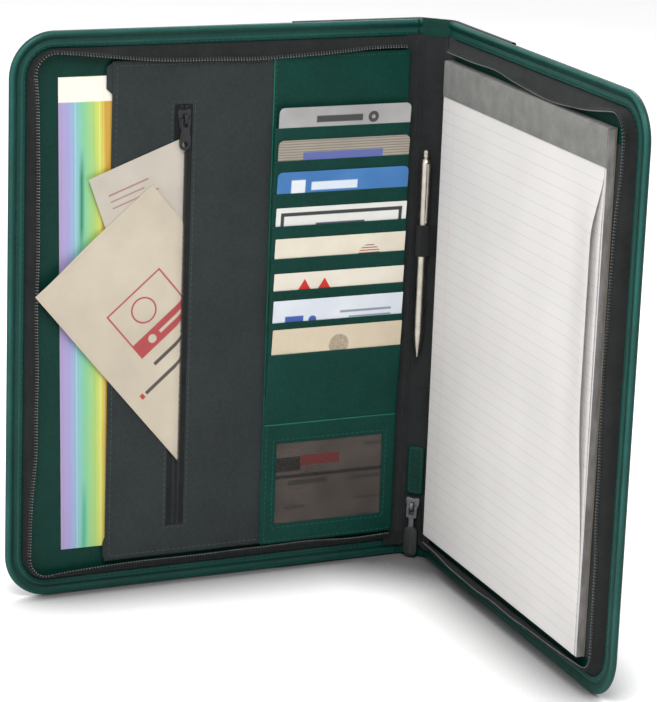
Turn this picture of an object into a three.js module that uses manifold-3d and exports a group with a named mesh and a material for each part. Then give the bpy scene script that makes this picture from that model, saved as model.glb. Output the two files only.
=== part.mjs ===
// Zippered padfolio, standing open on its bottom edges like a book.
// Millimetres, +Z up. The origin is the middle of the spine's foot, the inside faces -Y,
// the front cover is on -X and the back cover, which holds the writing pad, is on +X.
//
// A point on a cover is given as (u, v, n): u runs from the cover's hinge axis to its outer
// edge, v runs up from the bottom edge, and n rises from the middle of the cover's thickness
// towards the inside of the padfolio.

import * as THREE from 'three';
import { mergeVertices } from 'three/addons/utils/BufferGeometryUtils.js';
import Module from 'manifold-3d';

const wasm = await Module();
wasm.setup();

// Driving dimensions of the case
const coverWidth = 258;
const coverHeight = 336;
const cornerRadius = 27;
const hingeSpacing = 21;
const openingAngle = 86;

// Clearances
const gap = 0.3;
const layGap = 0.2;

// Sheet thicknesses of the case
const wrapThickness = 0.7;
const skinThickness = 0.8;
const boardThickness = 1.8;
const liningThickness = 0.5;
const wrapWidth = 83;
const turnInWidth = 10;
const foldOverlap = 0.5;

// Zipper round the covers
const tapeFootWidth = 1.3;
const tapeLean = 5.7;
const tapeHeight = 5.8;
const tapeThickness = 0.7;
const coilRadius = 0.75;
const coilSides = 6;

// Spine
const spineBoardThickness = 1.6;
const spineLiningThickness = 0.35;

// Pen and its loop
const penRadius = 3.3;
const penX = -1.5;
const penHeadroom = 78;
const penLength = 129;
const penBarrelDrop = 57;
const penFinialLength = 6;
const penTaperLength = 15;
const penPointRadius = 0.6;
const penFinialRadius = 2.4;
const clipWidth = 2.4;
const clipThickness = 0.7;
const clipDrop = 36;
const clipAngle = 45;
const loopHeight = 19;
const loopDrop = 56;
const loopThickness = 0.5;

// Layers on the front cover's lining
const brochureThickness = 0.8;
const brochureSideRoom = 29;
const brochureHingeRoom = 4;
const brochureFootRoom = 28;
const brochureHeadroom = 27;
const pocketBackThickness = 0.3;
const letterThickness = 0.2;
const envelopeThickness = 0.4;
const pocketFrontThickness = 0.4;
const filePocketShow = 61;

// Zip of the front cover's pocket
const slotToEdge = 44;
const slotWidth = 11;
const slotFootRoom = 37;
const slotHeadroom = 45;
const pocketTapeWidth = 3.5;
const pocketCoilWidth = 1.2;
const pocketCoilHeight = 0.85;
const pocketSliderWidth = 8.4;
const pocketSliderLength = 12;
const pocketSliderPlay = 2.2;
const pocketSliderPlate = 1.1;
const pocketPullLength = 18;
const pocketPullWidth = 7;
const pocketPullThickness = 0.9;
const pocketPullHole = 1.7;

// Letter and envelope that stick out of the zip: how far the outer corner reaches past the
// zip and drops below its top, how far the sheet is turned, and its size
const letterReach = 58;
const letterDrop = 41;
const letterTurn = 20.5;
const letterSize = [96, 84];
const envelopeReach = 90.5;
const envelopeDrop = 107;
const envelopeTurn = 40.5;
const envelopeSize = [94, 156];
const envelopeFlatRun = 8;
const envelopeCoilRoom = 2.7;

// Card column
const columnMargin = 2.2;
const cardBaseThickness = 0.3;
const cardWidth = 85.6;
const cardHeight = 54;
const plasticCardThickness = 0.76;
const paperCardThickness = 0.4;
const cardCornerRadius = 3.2;
const plasticCards = 3;
const cardShows = [12, 12.2, 12.9, 11, 12, 10.5, 13.5, 15.5];
const stripThickness = 0.35;
const stripHeight = 44;
const topStripHeadroom = 60.8;

// Identity card pocket
const idPocketRim = 12.2;
const idFrameThickness = 0.4;
const idFilmThickness = 0.2;
const idWindowSideLap = 7.3;
const idWindowEndLap = 1.5;
const idWindowRadius = 2;

// Writing pad on the back cover
const sleeveThickness = 0.4;
const sleeveShow = 10;
const sleeveHeadroom = 8;
const padSideRoom = 33;
const padClearance = 0.5;
const padBackThickness = 0.7;
const padSheetsThickness = 4.4;
const headerThickness = 0.3;
const headerHeight = 21;

// Parked end of the main zipper on the spine
const tabWidth = 11;
const tabHeight = 31;
const tabFoot = 40.5;
const tabThickness = 1.6;
const tailTapeWidth = 3.6;
const tailSpread = 4.6;
const tailFoot = 2;
const tailPlateThickness = 0.4;
const tailCoilWidth = 1.3;
const tailCoilHeight = 0.6;
const mainSliderWidth = 9.4;
const mainSliderLength = 12;
const mainSliderFoot = 27;
const mainSliderPlate = 1.2;
const mainPullReach = 25.5;
const mainLinkWidth = 7.4;
const mainLinkThickness = 0.9;
const mainGripWidth = 9;
const mainGripLength = 19;
const mainGripThickness = 2.2;
const mainGripInsert = 6;

// Parts that both sliders share
const sliderPostWidth = 2.2;
const bridgeWidth = 2;
const bridgeClear = 5;
const bridgeRise = 1.7;
const bridgeBar = 0.7;
const crossbarRadius = 0.45;
const eyeLength = 4.6;

// Levels across a cover's thickness, worked out from the sheets above
const halfThickness =
  (wrapThickness + skinThickness + boardThickness + liningThickness + 3 * gap) / 2;
const wrapBack = -halfThickness;
const skinBack = wrapBack + wrapThickness + gap;
const boardBack = skinBack + skinThickness + gap;
const liningBack = boardBack + boardThickness + gap;
const liningFace = liningBack + liningThickness;
const restAngle = THREE.MathUtils.degToRad((180 - openingAngle) / 2);

// Levels of the layers on the front cover
const turnInFace = liningBack + skinThickness;
const brochureBack = liningFace + layGap;
const pocketBackBack = brochureBack + brochureThickness + layGap;
const letterBack = pocketBackBack + pocketBackThickness + layGap;
const envelopeBack = letterBack + letterThickness + layGap;
const pocketFrontBack = envelopeBack + envelopeThickness + layGap;
const pocketFrontFace = pocketFrontBack + pocketFrontThickness;
const cardBaseBack = pocketFrontFace + layGap;
const cardSeat = cardBaseBack + cardBaseThickness + layGap;
const letterLift = pocketFrontFace + layGap - letterBack;

// Places along a cover's edges
const tapeInset = turnInWidth + gap + 0.1;
const liningInset = tapeInset + tapeFootWidth + liningThickness + gap;
const coilInset = tapeInset + tapeLean + coilRadius + layGap;
const coilLevel = liningBack + tapeHeight + coilRadius - 0.1;
const pocketInset = coilInset + coilRadius + gap;

// Levels on the spine
const spineBoardBack = wrapBack + wrapThickness + gap;
const spineLiningBack = spineBoardBack + spineBoardThickness + gap;
const spineFace = spineLiningBack + spineLiningThickness;
const foldReach = Math.hypot(foldOverlap, turnInFace);
const spineHalfWidth = hingeSpacing / 2 - foldReach - gap;
const penLevel = spineFace + gap + penRadius;
const loopReach = penLevel + penRadius + gap + loopThickness;
const pocketStart = loopReach + gap;
const tapeStart = pocketStart + 1.5;

// Places on the front cover
const pocketOuterEdge = coverWidth - filePocketShow;
const slotMiddle = pocketOuterEdge - slotToEdge;
const slotBottom = slotFootRoom;
const slotTop = coverHeight - slotHeadroom;
const pocketSliderPark = slotTop - gap - pocketSliderPlay - pocketSliderLength;
const envelopeLiftStart = pocketOuterEdge + envelopeFlatRun;
const envelopeLiftEnd = coverWidth - coilInset - coilRadius - envelopeCoilRoom;
const columnOuterEdge = pocketStart + gap + cardWidth + columnMargin;
const idPocketFoot = pocketInset + gap;
const idWindowFoot = idPocketFoot + idPocketRim;
const idWindowWidth = cardWidth - 2 * idWindowSideLap;
const idWindowHeight = cardHeight - 2 * idWindowEndLap;
const idPocketTop = idWindowFoot + idWindowHeight + idPocketRim;
const topStripHeight = coverHeight - topStripHeadroom;
const stripPitch = (topStripHeight - stripHeight - gap - idPocketTop) / (cardShows.length - 1);

// Places of the pad and the pen
const padFoot = pocketInset + padClearance;
const padTop = coverHeight - pocketInset - padClearance - headerThickness - layGap;
const padOuterEdge = coverWidth - padSideRoom;
const penTopHeight = coverHeight - penHeadroom;
const penShoulderHeight = penTopHeight - penFinialLength;
const penJointHeight = penTopHeight - penBarrelDrop;
const penTipHeight = penTopHeight - penLength;
const loopMiddle = penTopHeight - loopDrop;

const colours = {
  green: 0x1c5247,
  black: 0x2a2e30,
  charcoal: 0x343b3d,
  board: 0x8d7f6a,
  coil: 0x4b5052,
  metal: 0x8c9093,
  darkMetal: 0x2f3234,
  silver: 0xc9c4bb,
  paper: 0xf1f0ec,
  header: 0x7d8080,
  cardboard: 0x55585a,
  cream: 0xe0d6be,
  greyPaper: 0xbcb3a6,
  film: 0x6f6a66,
  cardSilver: 0x9da0a1,
  cardBlue: 0x3f8fd0,
  idCard: 0x77706a,
  brochure: 0x6ab5b0,
};

function material(colour, roughness, metalness = 0) {
  return new THREE.MeshStandardMaterial({ color: colour, roughness, metalness });
}

function piece(name, geometry, surface) {
  const mesh = new THREE.Mesh(geometry, surface);
  mesh.name = name;
  return mesh;
}

// Solids and their cuts and joins

function toSolid(geometry) {
  const bare = geometry.clone();
  bare.deleteAttribute('normal');
  bare.deleteAttribute('uv');
  const merged = mergeVertices(bare);
  return new wasm.Manifold(new wasm.Mesh({
    numProp: 3,
    vertProperties: new Float32Array(merged.attributes.position.array),
    triVerts: new Uint32Array(merged.index.array),
  }));
}

function fromSolid(solid) {
  const mesh = solid.getMesh();
  const geometry = new THREE.BufferGeometry();
  geometry.setAttribute('position', new THREE.BufferAttribute(mesh.vertProperties, 3));
  geometry.setIndex(new THREE.BufferAttribute(mesh.triVerts, 1));
  geometry.computeVertexNormals();
  return geometry;
}

function cut(base, ...tools) {
  return fromSolid(tools.reduce((solid, tool) => solid.subtract(toSolid(tool)), toSolid(base)));
}

function join(base, ...others) {
  return fromSolid(others.reduce((solid, other) => solid.add(toSolid(other)), toSolid(base)));
}

// A closed mesh from points and triangles, turned so that its faces point out.
function closedMesh(points, triangles) {
  let volume = 0;
  for (const [a, b, c] of triangles) {
    volume += points[a].dot(new THREE.Vector3().crossVectors(points[b], points[c]));
  }
  const index = triangles.flatMap(([a, b, c]) => (volume > 0 ? [a, b, c] : [a, c, b]));
  const geometry = new THREE.BufferGeometry().setFromPoints(points);
  geometry.setIndex(index);
  geometry.computeVertexNormals();
  return geometry;
}

// Shapes drawn on a cover's plane. side is -1 on the front cover and 1 on the back cover.

function slab(shape, back, face) {
  const geometry = new THREE.ExtrudeGeometry(shape, {
    depth: face - back,
    bevelEnabled: false,
    curveSegments: 8,
  });
  geometry.translate(0, 0, back);
  geometry.rotateX(Math.PI / 2);
  return geometry;
}

function rectangle(side, fromU, toU, fromV, toV, radius = 0) {
  const shape = new THREE.Shape();
  if (radius === 0) {
    shape.moveTo(side * fromU, fromV);
    shape.lineTo(side * toU, fromV);
    shape.lineTo(side * toU, toV);
    shape.lineTo(side * fromU, toV);
    return shape;
  }
  const left = Math.min(side * fromU, side * toU);
  const right = Math.max(side * fromU, side * toU);
  shape.moveTo(left + radius, fromV);
  shape.lineTo(right - radius, fromV);
  shape.absarc(right - radius, fromV + radius, radius, -Math.PI / 2, 0, false);
  shape.lineTo(right, toV - radius);
  shape.absarc(right - radius, toV - radius, radius, 0, Math.PI / 2, false);
  shape.lineTo(left + radius, toV);
  shape.absarc(left + radius, toV - radius, radius, Math.PI / 2, Math.PI, false);
  shape.lineTo(left, fromV + radius);
  shape.absarc(left + radius, fromV + radius, radius, Math.PI, Math.PI * 1.5, false);
  return shape;
}

// The cover's outline, moved in by inset: square at the hinge, round at the outer corners.
function coverOutline(side, inset, fromU) {
  const points = [new THREE.Vector2(side * fromU, inset)];
  for (const { centre, heading } of edgeStations(fromU).slice(1, -1)) {
    const reach = cornerRadius - inset;
    points.push(new THREE.Vector2(
      side * (centre.x + reach * heading.x),
      centre.y + reach * heading.y,
    ));
  }
  points.push(new THREE.Vector2(side * fromU, coverHeight - inset));
  return new THREE.Shape(points);
}

// Stations along a cover's bottom, outer and top edges. A line at any inset passes through
// centre + (cornerRadius - inset) * heading.
function edgeStations(fromU) {
  const arcSteps = 8;
  const stations = [{
    centre: new THREE.Vector2(fromU, cornerRadius),
    heading: new THREE.Vector2(0, -1),
  }];
  const corners = [
    { v: cornerRadius, turn: -Math.PI / 2 },
    { v: coverHeight - cornerRadius, turn: 0 },
  ];
  for (const { v, turn } of corners) {
    for (let step = 0; step <= arcSteps; step += 1) {
      const angle = turn + (Math.PI / 2) * (step / arcSteps);
      stations.push({
        centre: new THREE.Vector2(coverWidth - cornerRadius, v),
        heading: new THREE.Vector2(Math.cos(angle), Math.sin(angle)),
      });
    }
  }
  stations.push({
    centre: new THREE.Vector2(fromU, coverHeight - cornerRadius),
    heading: new THREE.Vector2(0, 1),
  });
  return stations;
}

// A section of (inset, level) points carried round the three free edges of a cover.
function edgeRun(side, section, fromU) {
  const points = [];
  const triangles = [];
  const stations = edgeStations(fromU);
  const count = section.length;
  for (const { centre, heading } of stations) {
    for (const [inset, level] of section) {
      const reach = cornerRadius - inset;
      const u = centre.x + reach * heading.x;
      const v = centre.y + reach * heading.y;
      points.push(new THREE.Vector3(side * u, -level, v));
    }
  }
  for (let ring = 0; ring + 1 < stations.length; ring += 1) {
    for (let corner = 0; corner < count; corner += 1) {
      const next = (corner + 1) % count;
      const a = ring * count + corner;
      const b = ring * count + next;
      triangles.push([a, b, b + count], [a, b + count, a + count]);
    }
  }
  const outline = section.map(([inset, level]) => new THREE.Vector2(inset, level));
  const last = (stations.length - 1) * count;
  for (const corners of THREE.ShapeUtils.triangulateShape(outline, [])) {
    const [a, b, c] = [...corners].sort((first, second) => first - second);
    triangles.push([c, b, a], [a + last, b + last, c + last]);
  }
  return closedMesh(points, triangles);
}

// A convex sheet whose level changes with u along a profile of (u, level) points.
function foldedSheet(side, corners, profile, thickness) {
  const outline = [];
  corners.forEach((corner, index) => {
    const next = corners[(index + 1) % corners.length];
    outline.push(corner);
    const crossings = profile
      .map(([u]) => (u - corner.x) / (next.x - corner.x))
      .filter((share) => share > 0.0001 && share < 0.9999)
      .sort((first, second) => first - second);
    crossings.forEach((share) => outline.push(corner.clone().lerp(next, share)));
  });
  const levelAt = (u) => {
    const after = Math.max(1, profile.findIndex(([end]) => u <= end + 1e-6));
    const [fromU, fromLevel] = profile[after - 1];
    const [toU, toLevel] = profile[after];
    return fromLevel + (toLevel - fromLevel) * ((u - fromU) / (toU - fromU));
  };
  const count = outline.length;
  const points = [0, thickness].flatMap((rise) => outline.map(
    (point) => new THREE.Vector3(side * point.x, -(levelAt(point.x) + rise), point.y),
  ));
  const triangles = [];
  for (let strip = 0; strip + 1 < profile.length; strip += 1) {
    const inside = outline
      .map((point, index) => ({ point, index }))
      .filter(({ point }) => point.x > profile[strip][0] - 1e-6
        && point.x < profile[strip + 1][0] + 1e-6)
      .map(({ index }) => index);
    for (let fan = 1; fan + 1 < inside.length; fan += 1) {
      const [a, b, c] = [inside[0], inside[fan], inside[fan + 1]];
      triangles.push([a, b, c], [a + count, c + count, b + count]);
    }
  }
  for (let index = 0; index < count; index += 1) {
    const next = (index + 1) % count;
    triangles.push([index, index + count, next + count], [index, next + count, next]);
  }
  return closedMesh(points, triangles);
}

// Box between two corners given as (x, y, z)
function block(low, high) {
  const size = high.map((value, axis) => value - low[axis]);
  const geometry = new THREE.BoxGeometry(...size);
  geometry.translate(...high.map((value, axis) => (value + low[axis]) / 2));
  return geometry;
}

// Box on a face that looks along -Y: across x, up z, and n outwards
function faceBlock(fromX, toX, fromZ, toZ, back, face) {
  return block([fromX, -face, fromZ], [toX, -back, toZ]);
}

// Case: skins, boards and linings

function coverSkin(side) {
  const past = 1;
  const outer = slab(coverOutline(side, 0, -foldOverlap), skinBack, turnInFace);
  const boardRoom = slab(
    coverOutline(side, skinThickness, -past),
    skinBack + skinThickness,
    liningBack,
  );
  const window = slab(
    coverOutline(side, turnInWidth, -past),
    liningBack - foldOverlap,
    turnInFace + past,
  );
  const fold = new THREE.Shape();
  const facing = side > 0 ? Math.PI : 0;
  fold.absarc(0, 0, halfThickness, facing - Math.PI / 2, facing + Math.PI / 2, false);
  const foldedEdge = new THREE.ExtrudeGeometry(fold, {
    depth: coverHeight,
    bevelEnabled: false,
    curveSegments: 10,
  });
  return join(cut(outer, boardRoom, window), foldedEdge);
}

function coverShell(side, prefix, leather, black, stiff) {
  const boardInset = skinThickness + gap;
  const tapeFoot = liningBack;
  const tapeSection = [
    [tapeInset, tapeFoot],
    [tapeInset + tapeFootWidth, tapeFoot],
    [tapeInset + tapeLean, tapeFoot + tapeHeight - tapeThickness],
    [tapeInset + tapeLean, tapeFoot + tapeHeight],
    [tapeInset + tapeLean - tapeThickness, tapeFoot + tapeHeight],
    [tapeInset, tapeFoot + tapeThickness],
  ];
  const coilSection = [];
  for (let corner = 0; corner < coilSides; corner += 1) {
    const angle = (corner / coilSides) * Math.PI * 2;
    coilSection.push([
      coilInset + coilRadius * Math.cos(angle),
      coilLevel + coilRadius * Math.sin(angle),
    ]);
  }
  return [
    piece(`${prefix}_outer_skin`, coverSkin(side), leather),
    piece(
      `${prefix}_wrap_panel`,
      slab(rectangle(side, gap, wrapWidth, 0, coverHeight), wrapBack, wrapBack + wrapThickness),
      black,
    ),
    piece(
      `${prefix}_board`,
      slab(coverOutline(side, boardInset, gap), boardBack, boardBack + boardThickness),
      stiff,
    ),
    piece(
      `${prefix}_lining`,
      slab(coverOutline(side, liningInset, gap), liningBack, liningFace),
      leather,
    ),
    piece(`${prefix}_zipper_tape`, edgeRun(side, tapeSection, tapeStart), black),
    piece(
      `${prefix}_zipper_coil`,
      edgeRun(side, coilSection, tapeStart),
      material(colours.coil, 0.45, 0.3),
    ),
  ];
}

// Zipper sliders and pulls, drawn on a face that looks along -Y with the pull hanging down

// A slider's two plates, the post between them and the bridge that holds the pull.
function sliderBody({ x, foot, width, length, plate, back, channelBack, channelFace }) {
  const top = foot + length;
  const middle = foot + length / 2;
  const face = channelFace + plate;
  const half = width / 2;
  const bite = 0.2;
  const lower = faceBlock(x - half, x + half, foot, top, back, channelBack);
  const upper = faceBlock(x - half, x + half, foot, top, channelFace, face);
  const postHalf = sliderPostWidth / 2;
  const post = faceBlock(
    x - postHalf, x + postHalf, middle, top - 1, channelBack - bite, channelFace + bite,
  );
  const barHalf = bridgeClear / 2 + bridgeBar;
  const bridge = faceBlock(
    x - bridgeWidth / 2, x + bridgeWidth / 2,
    middle - barHalf, middle + barHalf,
    face - bite, face + bridgeRise + bridgeBar,
  );
  const eye = faceBlock(
    x - bridgeWidth, x + bridgeWidth,
    middle - bridgeClear / 2, middle + bridgeClear / 2,
    face, face + bridgeRise,
  );
  return join(cut(bridge, eye), upper, post, lower);
}

// The level of a pull's hinge axis above a slider's face
const pullAxisRise = bridgeRise / 2;

// A pull's frame: the crossbar under the bridge, two arms round it and a flat tongue.
// Its hinge axis is the X axis through the origin, and it hangs towards -Z.
function pullFrame(width, thickness, length) {
  const half = width / 2;
  const innerHalf = bridgeWidth / 2 + gap + 0.1;
  const rim = (thickness / 2);
  const plate = faceBlock(-half, half, -length, crossbarRadius, -rim, rim);
  const eye = faceBlock(-innerHalf, innerHalf, -eyeLength, -crossbarRadius, -1, 1);
  return cut(plate, eye);
}

// Papers, pockets and cards of the front cover

function turnedSheet([cornerU, cornerV], turn, [along, down]) {
  const angle = THREE.MathUtils.degToRad(turn);
  const toSpine = new THREE.Vector2(-Math.cos(angle), Math.sin(angle));
  const toFoot = new THREE.Vector2(-Math.sin(angle), -Math.cos(angle));
  const corner = new THREE.Vector2(cornerU, cornerV);
  return [
    corner,
    corner.clone().addScaledVector(toSpine, along),
    corner.clone().addScaledVector(toSpine, along).addScaledVector(toFoot, down),
    corner.clone().addScaledVector(toFoot, down),
  ];
}

function papers(side) {
  const slitHalf = slotWidth / 2 - pocketTapeWidth - 0.1;
  const slitInner = slotMiddle - slitHalf;
  const slitOuter = slotMiddle + slitHalf;
  const letterProfile = [
    [0, letterBack],
    [slitInner, letterBack],
    [slitOuter, letterBack + letterLift],
    [coverWidth, letterBack + letterLift],
  ];
  const coilClear = coilLevel + coilRadius + layGap;
  const envelopeProfile = [
    [0, envelopeBack],
    [slitInner, envelopeBack],
    [slitOuter, envelopeBack + letterLift],
    [envelopeLiftStart, envelopeBack + letterLift],
    [envelopeLiftEnd, coilClear],
    [coverWidth, coilClear],
  ];
  const letterCorner = [slotMiddle + letterReach, slotTop - letterDrop];
  const envelopeCorner = [slotMiddle + envelopeReach, slotTop - envelopeDrop];
  return [
    piece(
      'brochure',
      slab(
        rectangle(
          side,
          pocketStart + brochureHingeRoom,
          coverWidth - brochureSideRoom,
          brochureFootRoom,
          coverHeight - brochureHeadroom,
        ),
        brochureBack,
        brochureBack + brochureThickness,
      ),
      material(colours.brochure, 0.35),
    ),
    piece(
      'letter',
      foldedSheet(
        side, turnedSheet(letterCorner, letterTurn, letterSize), letterProfile, letterThickness,
      ),
      material(colours.greyPaper, 0.9),
    ),
    piece(
      'envelope',
      foldedSheet(
        side,
        turnedSheet(envelopeCorner, envelopeTurn, envelopeSize),
        envelopeProfile,
        envelopeThickness,
      ),
      material(colours.cream, 0.85),
    ),
  ];
}

function zipPocket(side, cloth) {
  const top = coverHeight - pocketInset;
  const slotHalf = slotWidth / 2;
  const frontPanel = cut(
    slab(
      rectangle(side, pocketStart, pocketOuterEdge, pocketInset, top),
      pocketFrontBack,
      pocketFrontFace,
    ),
    slab(
      rectangle(side, slotMiddle - slotHalf, slotMiddle + slotHalf, slotBottom, slotTop),
      pocketFrontBack - gap,
      pocketFrontFace + gap,
    ),
  );
  const tapeFoot = slotBottom + gap;
  const tapeTop = slotTop - gap;
  const outerEdge = slotMiddle + slotHalf - layGap;
  const innerEdge = slotMiddle - slotHalf + layGap;
  const outerTape = join(
    slab(
      rectangle(side, outerEdge - pocketTapeWidth, outerEdge, tapeFoot, tapeTop),
      pocketFrontBack,
      pocketFrontFace,
    ),
    slab(
      rectangle(
        side,
        outerEdge - pocketTapeWidth,
        outerEdge - pocketTapeWidth + pocketCoilWidth,
        tapeFoot,
        tapeTop,
      ),
      pocketFrontFace - pocketCoilHeight,
      pocketFrontFace,
    ),
  );
  const innerTape = join(
    slab(
      rectangle(side, innerEdge, innerEdge + pocketTapeWidth, tapeFoot, tapeTop),
      pocketFrontBack,
      pocketFrontFace,
    ),
    slab(
      rectangle(
        side,
        innerEdge + pocketTapeWidth - pocketCoilWidth,
        innerEdge + pocketTapeWidth,
        tapeFoot,
        tapeTop,
      ),
      pocketFrontBack,
      pocketFrontBack + pocketCoilHeight,
    ),
  );
  return [
    piece(
      'zip_pocket_back',
      slab(
        rectangle(side, pocketStart, pocketOuterEdge, pocketInset, top),
        pocketBackBack,
        pocketBackBack + pocketBackThickness,
      ),
      cloth,
    ),
    piece('zip_pocket_front', frontPanel, cloth),
    piece('pocket_zip_outer_tape', outerTape, material(colours.black, 0.8)),
    piece('pocket_zip_inner_tape', innerTape, material(colours.black, 0.8)),
  ];
}

// Levels and places of the pocket's slider and pull
const pocketSliderBack = pocketBackBack + pocketBackThickness + layGap;
const pocketChannelBack = pocketFrontFace - pocketCoilHeight - layGap;
const pocketChannelFace = pocketFrontBack + pocketCoilHeight + layGap;
const pocketSliderFace = pocketChannelFace + pocketSliderPlate;
const pocketPullAxis = {
  v: pocketSliderPark + pocketSliderLength / 2,
  n: pocketSliderFace + pullAxisRise,
};

function pocketSlider(side, metal) {
  return [
    piece(
      'pocket_slider',
      sliderBody({
        x: side * slotMiddle,
        foot: pocketSliderPark,
        width: pocketSliderWidth,
        length: pocketSliderLength,
        plate: pocketSliderPlate,
        back: pocketSliderBack,
        channelBack: pocketChannelBack,
        channelFace: pocketChannelFace,
      }),
      metal,
    ),
  ];
}

function pocketPull(side, metal) {
  const holeCentre = -pocketPullLength + pocketPullWidth / 2;
  const hole = new THREE.CylinderGeometry(pocketPullHole, pocketPullHole, 4, 16);
  hole.translate(0, 0, holeCentre);
  const frame = pullFrame(pocketPullWidth, pocketPullThickness, pocketPullLength);
  const mesh = piece('pocket_pull', cut(frame, hole), metal);
  mesh.position.set(side * slotMiddle, -pocketPullAxis.n, pocketPullAxis.v);
  return [mesh];
}

function cardColumn(side, leather) {
  const baseTop = coverHeight - pocketInset;
  const cardPitch = plasticCardThickness + stripThickness + 2 * layGap;
  const tilt = Math.asin(cardPitch / stripPitch);
  const columnMiddle = (pocketStart + columnOuterEdge) / 2;
  const stripHalf = (columnOuterEdge - pocketStart) / 2;
  const cardMiddle = pocketStart + gap + cardWidth / 2;
  const pieces = [
    piece(
      'card_base_panel',
      slab(
        rectangle(side, pocketStart, columnOuterEdge, pocketInset, baseTop),
        cardBaseBack,
        cardBaseBack + cardBaseThickness,
      ),
      leather,
    ),
  ];
  const cardColours = [
    colours.cardSilver, colours.greyPaper, colours.cardBlue, colours.paper,
    colours.cream, colours.paper, colours.paper, colours.cream,
  ];
  cardShows.forEach((show, index) => {
    const seat = topStripHeight - index * stripPitch - stripHeight;
    const plastic = index < plasticCards;
    const thickness = plastic ? plasticCardThickness : paperCardThickness;
    const radius = plastic ? cardCornerRadius : 0;
    const height = cardHeight;
    const foot = stripHeight + show - height;
    const card = piece(
      `card_${index + 1}`,
      slab(
        rectangle(1, -cardWidth / 2, cardWidth / 2, foot, foot + height, radius),
        0,
        thickness,
      ),
      material(cardColours[index], plastic ? 0.35 : 0.8),
    );
    card.position.set(side * cardMiddle, -cardSeat, seat);
    card.rotation.x = tilt;
    const strip = piece(
      `card_slot_strip_${index + 1}`,
      slab(
        rectangle(1, -stripHalf, stripHalf, 0, stripHeight),
        plasticCardThickness + layGap,
        plasticCardThickness + layGap + stripThickness,
      ),
      leather,
    );
    strip.position.set(side * columnMiddle, -cardSeat, seat);
    strip.rotation.x = tilt;
    pieces.push(card, strip);
  });
  return pieces;
}

function identityPocket(side, leather) {
  const top = idPocketTop;
  const middle = (pocketStart + columnOuterEdge) / 2;
  const cardBack = cardSeat;
  const filmBack = cardBack + plasticCardThickness + layGap;
  const frameBack = filmBack + idFilmThickness + layGap;
  const windowHalf = idWindowWidth / 2;
  const windowMiddle = idWindowFoot + idWindowHeight / 2;
  const frame = cut(
    slab(
      rectangle(side, pocketStart, columnOuterEdge, idPocketFoot, top),
      frameBack,
      frameBack + idFrameThickness,
    ),
    slab(
      rectangle(
        side,
        middle - windowHalf,
        middle + windowHalf,
        idWindowFoot,
        idWindowFoot + idWindowHeight,
        idWindowRadius,
      ),
      frameBack - gap,
      frameBack + idFrameThickness + gap,
    ),
  );
  const cardFoot = windowMiddle - cardHeight / 2;
  return [
    piece('id_pocket_frame', frame, leather),
    piece(
      'id_window_film',
      slab(
        rectangle(
          side, pocketStart + 1, columnOuterEdge - 1, idPocketFoot + 1, top - 1,
        ),
        filmBack,
        filmBack + idFilmThickness,
      ),
      material(colours.film, 0.15),
    ),
    piece(
      'id_card',
      slab(
        rectangle(
          side,
          middle - cardWidth / 2,
          middle + cardWidth / 2,
          cardFoot,
          cardFoot + cardHeight,
          cardCornerRadius,
        ),
        cardBack,
        cardBack + plasticCardThickness,
      ),
      material(colours.idCard, 0.5),
    ),
  ];
}

// Writing pad of the back cover

function writingPad(side, cloth) {
  const sleeveBack = liningFace + layGap;
  const backBack = sleeveBack + sleeveThickness + layGap;
  const sheetsBack = backBack + padBackThickness + layGap;
  const sheetsFace = sheetsBack + padSheetsThickness;
  const headerFace = sheetsFace + layGap + headerThickness;
  const header = cut(
    slab(
      rectangle(
        side, pocketStart, padOuterEdge, padTop - headerHeight, padTop + layGap + headerThickness,
      ),
      backBack,
      headerFace,
    ),
    slab(
      rectangle(side, pocketStart - 1, padOuterEdge + 1, padTop - headerHeight - 1, padTop + layGap),
      backBack - 1,
      sheetsFace + layGap,
    ),
  );
  return [
    piece(
      'pad_sleeve',
      slab(
        rectangle(side, pocketStart, padOuterEdge + sleeveShow, padFoot, padTop - sleeveHeadroom),
        sleeveBack,
        sleeveBack + sleeveThickness,
      ),
      cloth,
    ),
    piece(
      'pad_backing_board',
      slab(
        rectangle(side, pocketStart, padOuterEdge, padFoot, padTop),
        backBack,
        backBack + padBackThickness,
      ),
      material(colours.cardboard, 0.9),
    ),
    piece(
      'pad_sheets',
      slab(rectangle(side, pocketStart, padOuterEdge, padFoot, padTop), sheetsBack, sheetsFace),
      material(colours.paper, 0.9),
    ),
    piece('pad_header_binding', header, material(colours.header, 0.85)),
  ];
}

// Spine and what it carries

function spinePieces(black, stiff) {
  const wrapHalf = spineHalfWidth;
  return [
    piece(
      'spine_wrap_panel',
      faceBlock(-wrapHalf, wrapHalf, 0, coverHeight, wrapBack, wrapBack + wrapThickness),
      black,
    ),
    piece(
      'spine_board',
      faceBlock(
        -wrapHalf, wrapHalf, 0, coverHeight, spineBoardBack, spineBoardBack + spineBoardThickness,
      ),
      stiff,
    ),
    piece(
      'spine_lining',
      faceBlock(-wrapHalf, wrapHalf, 0, coverHeight, spineLiningBack, spineFace),
      material(colours.black, 0.85),
    ),
  ];
}

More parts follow.
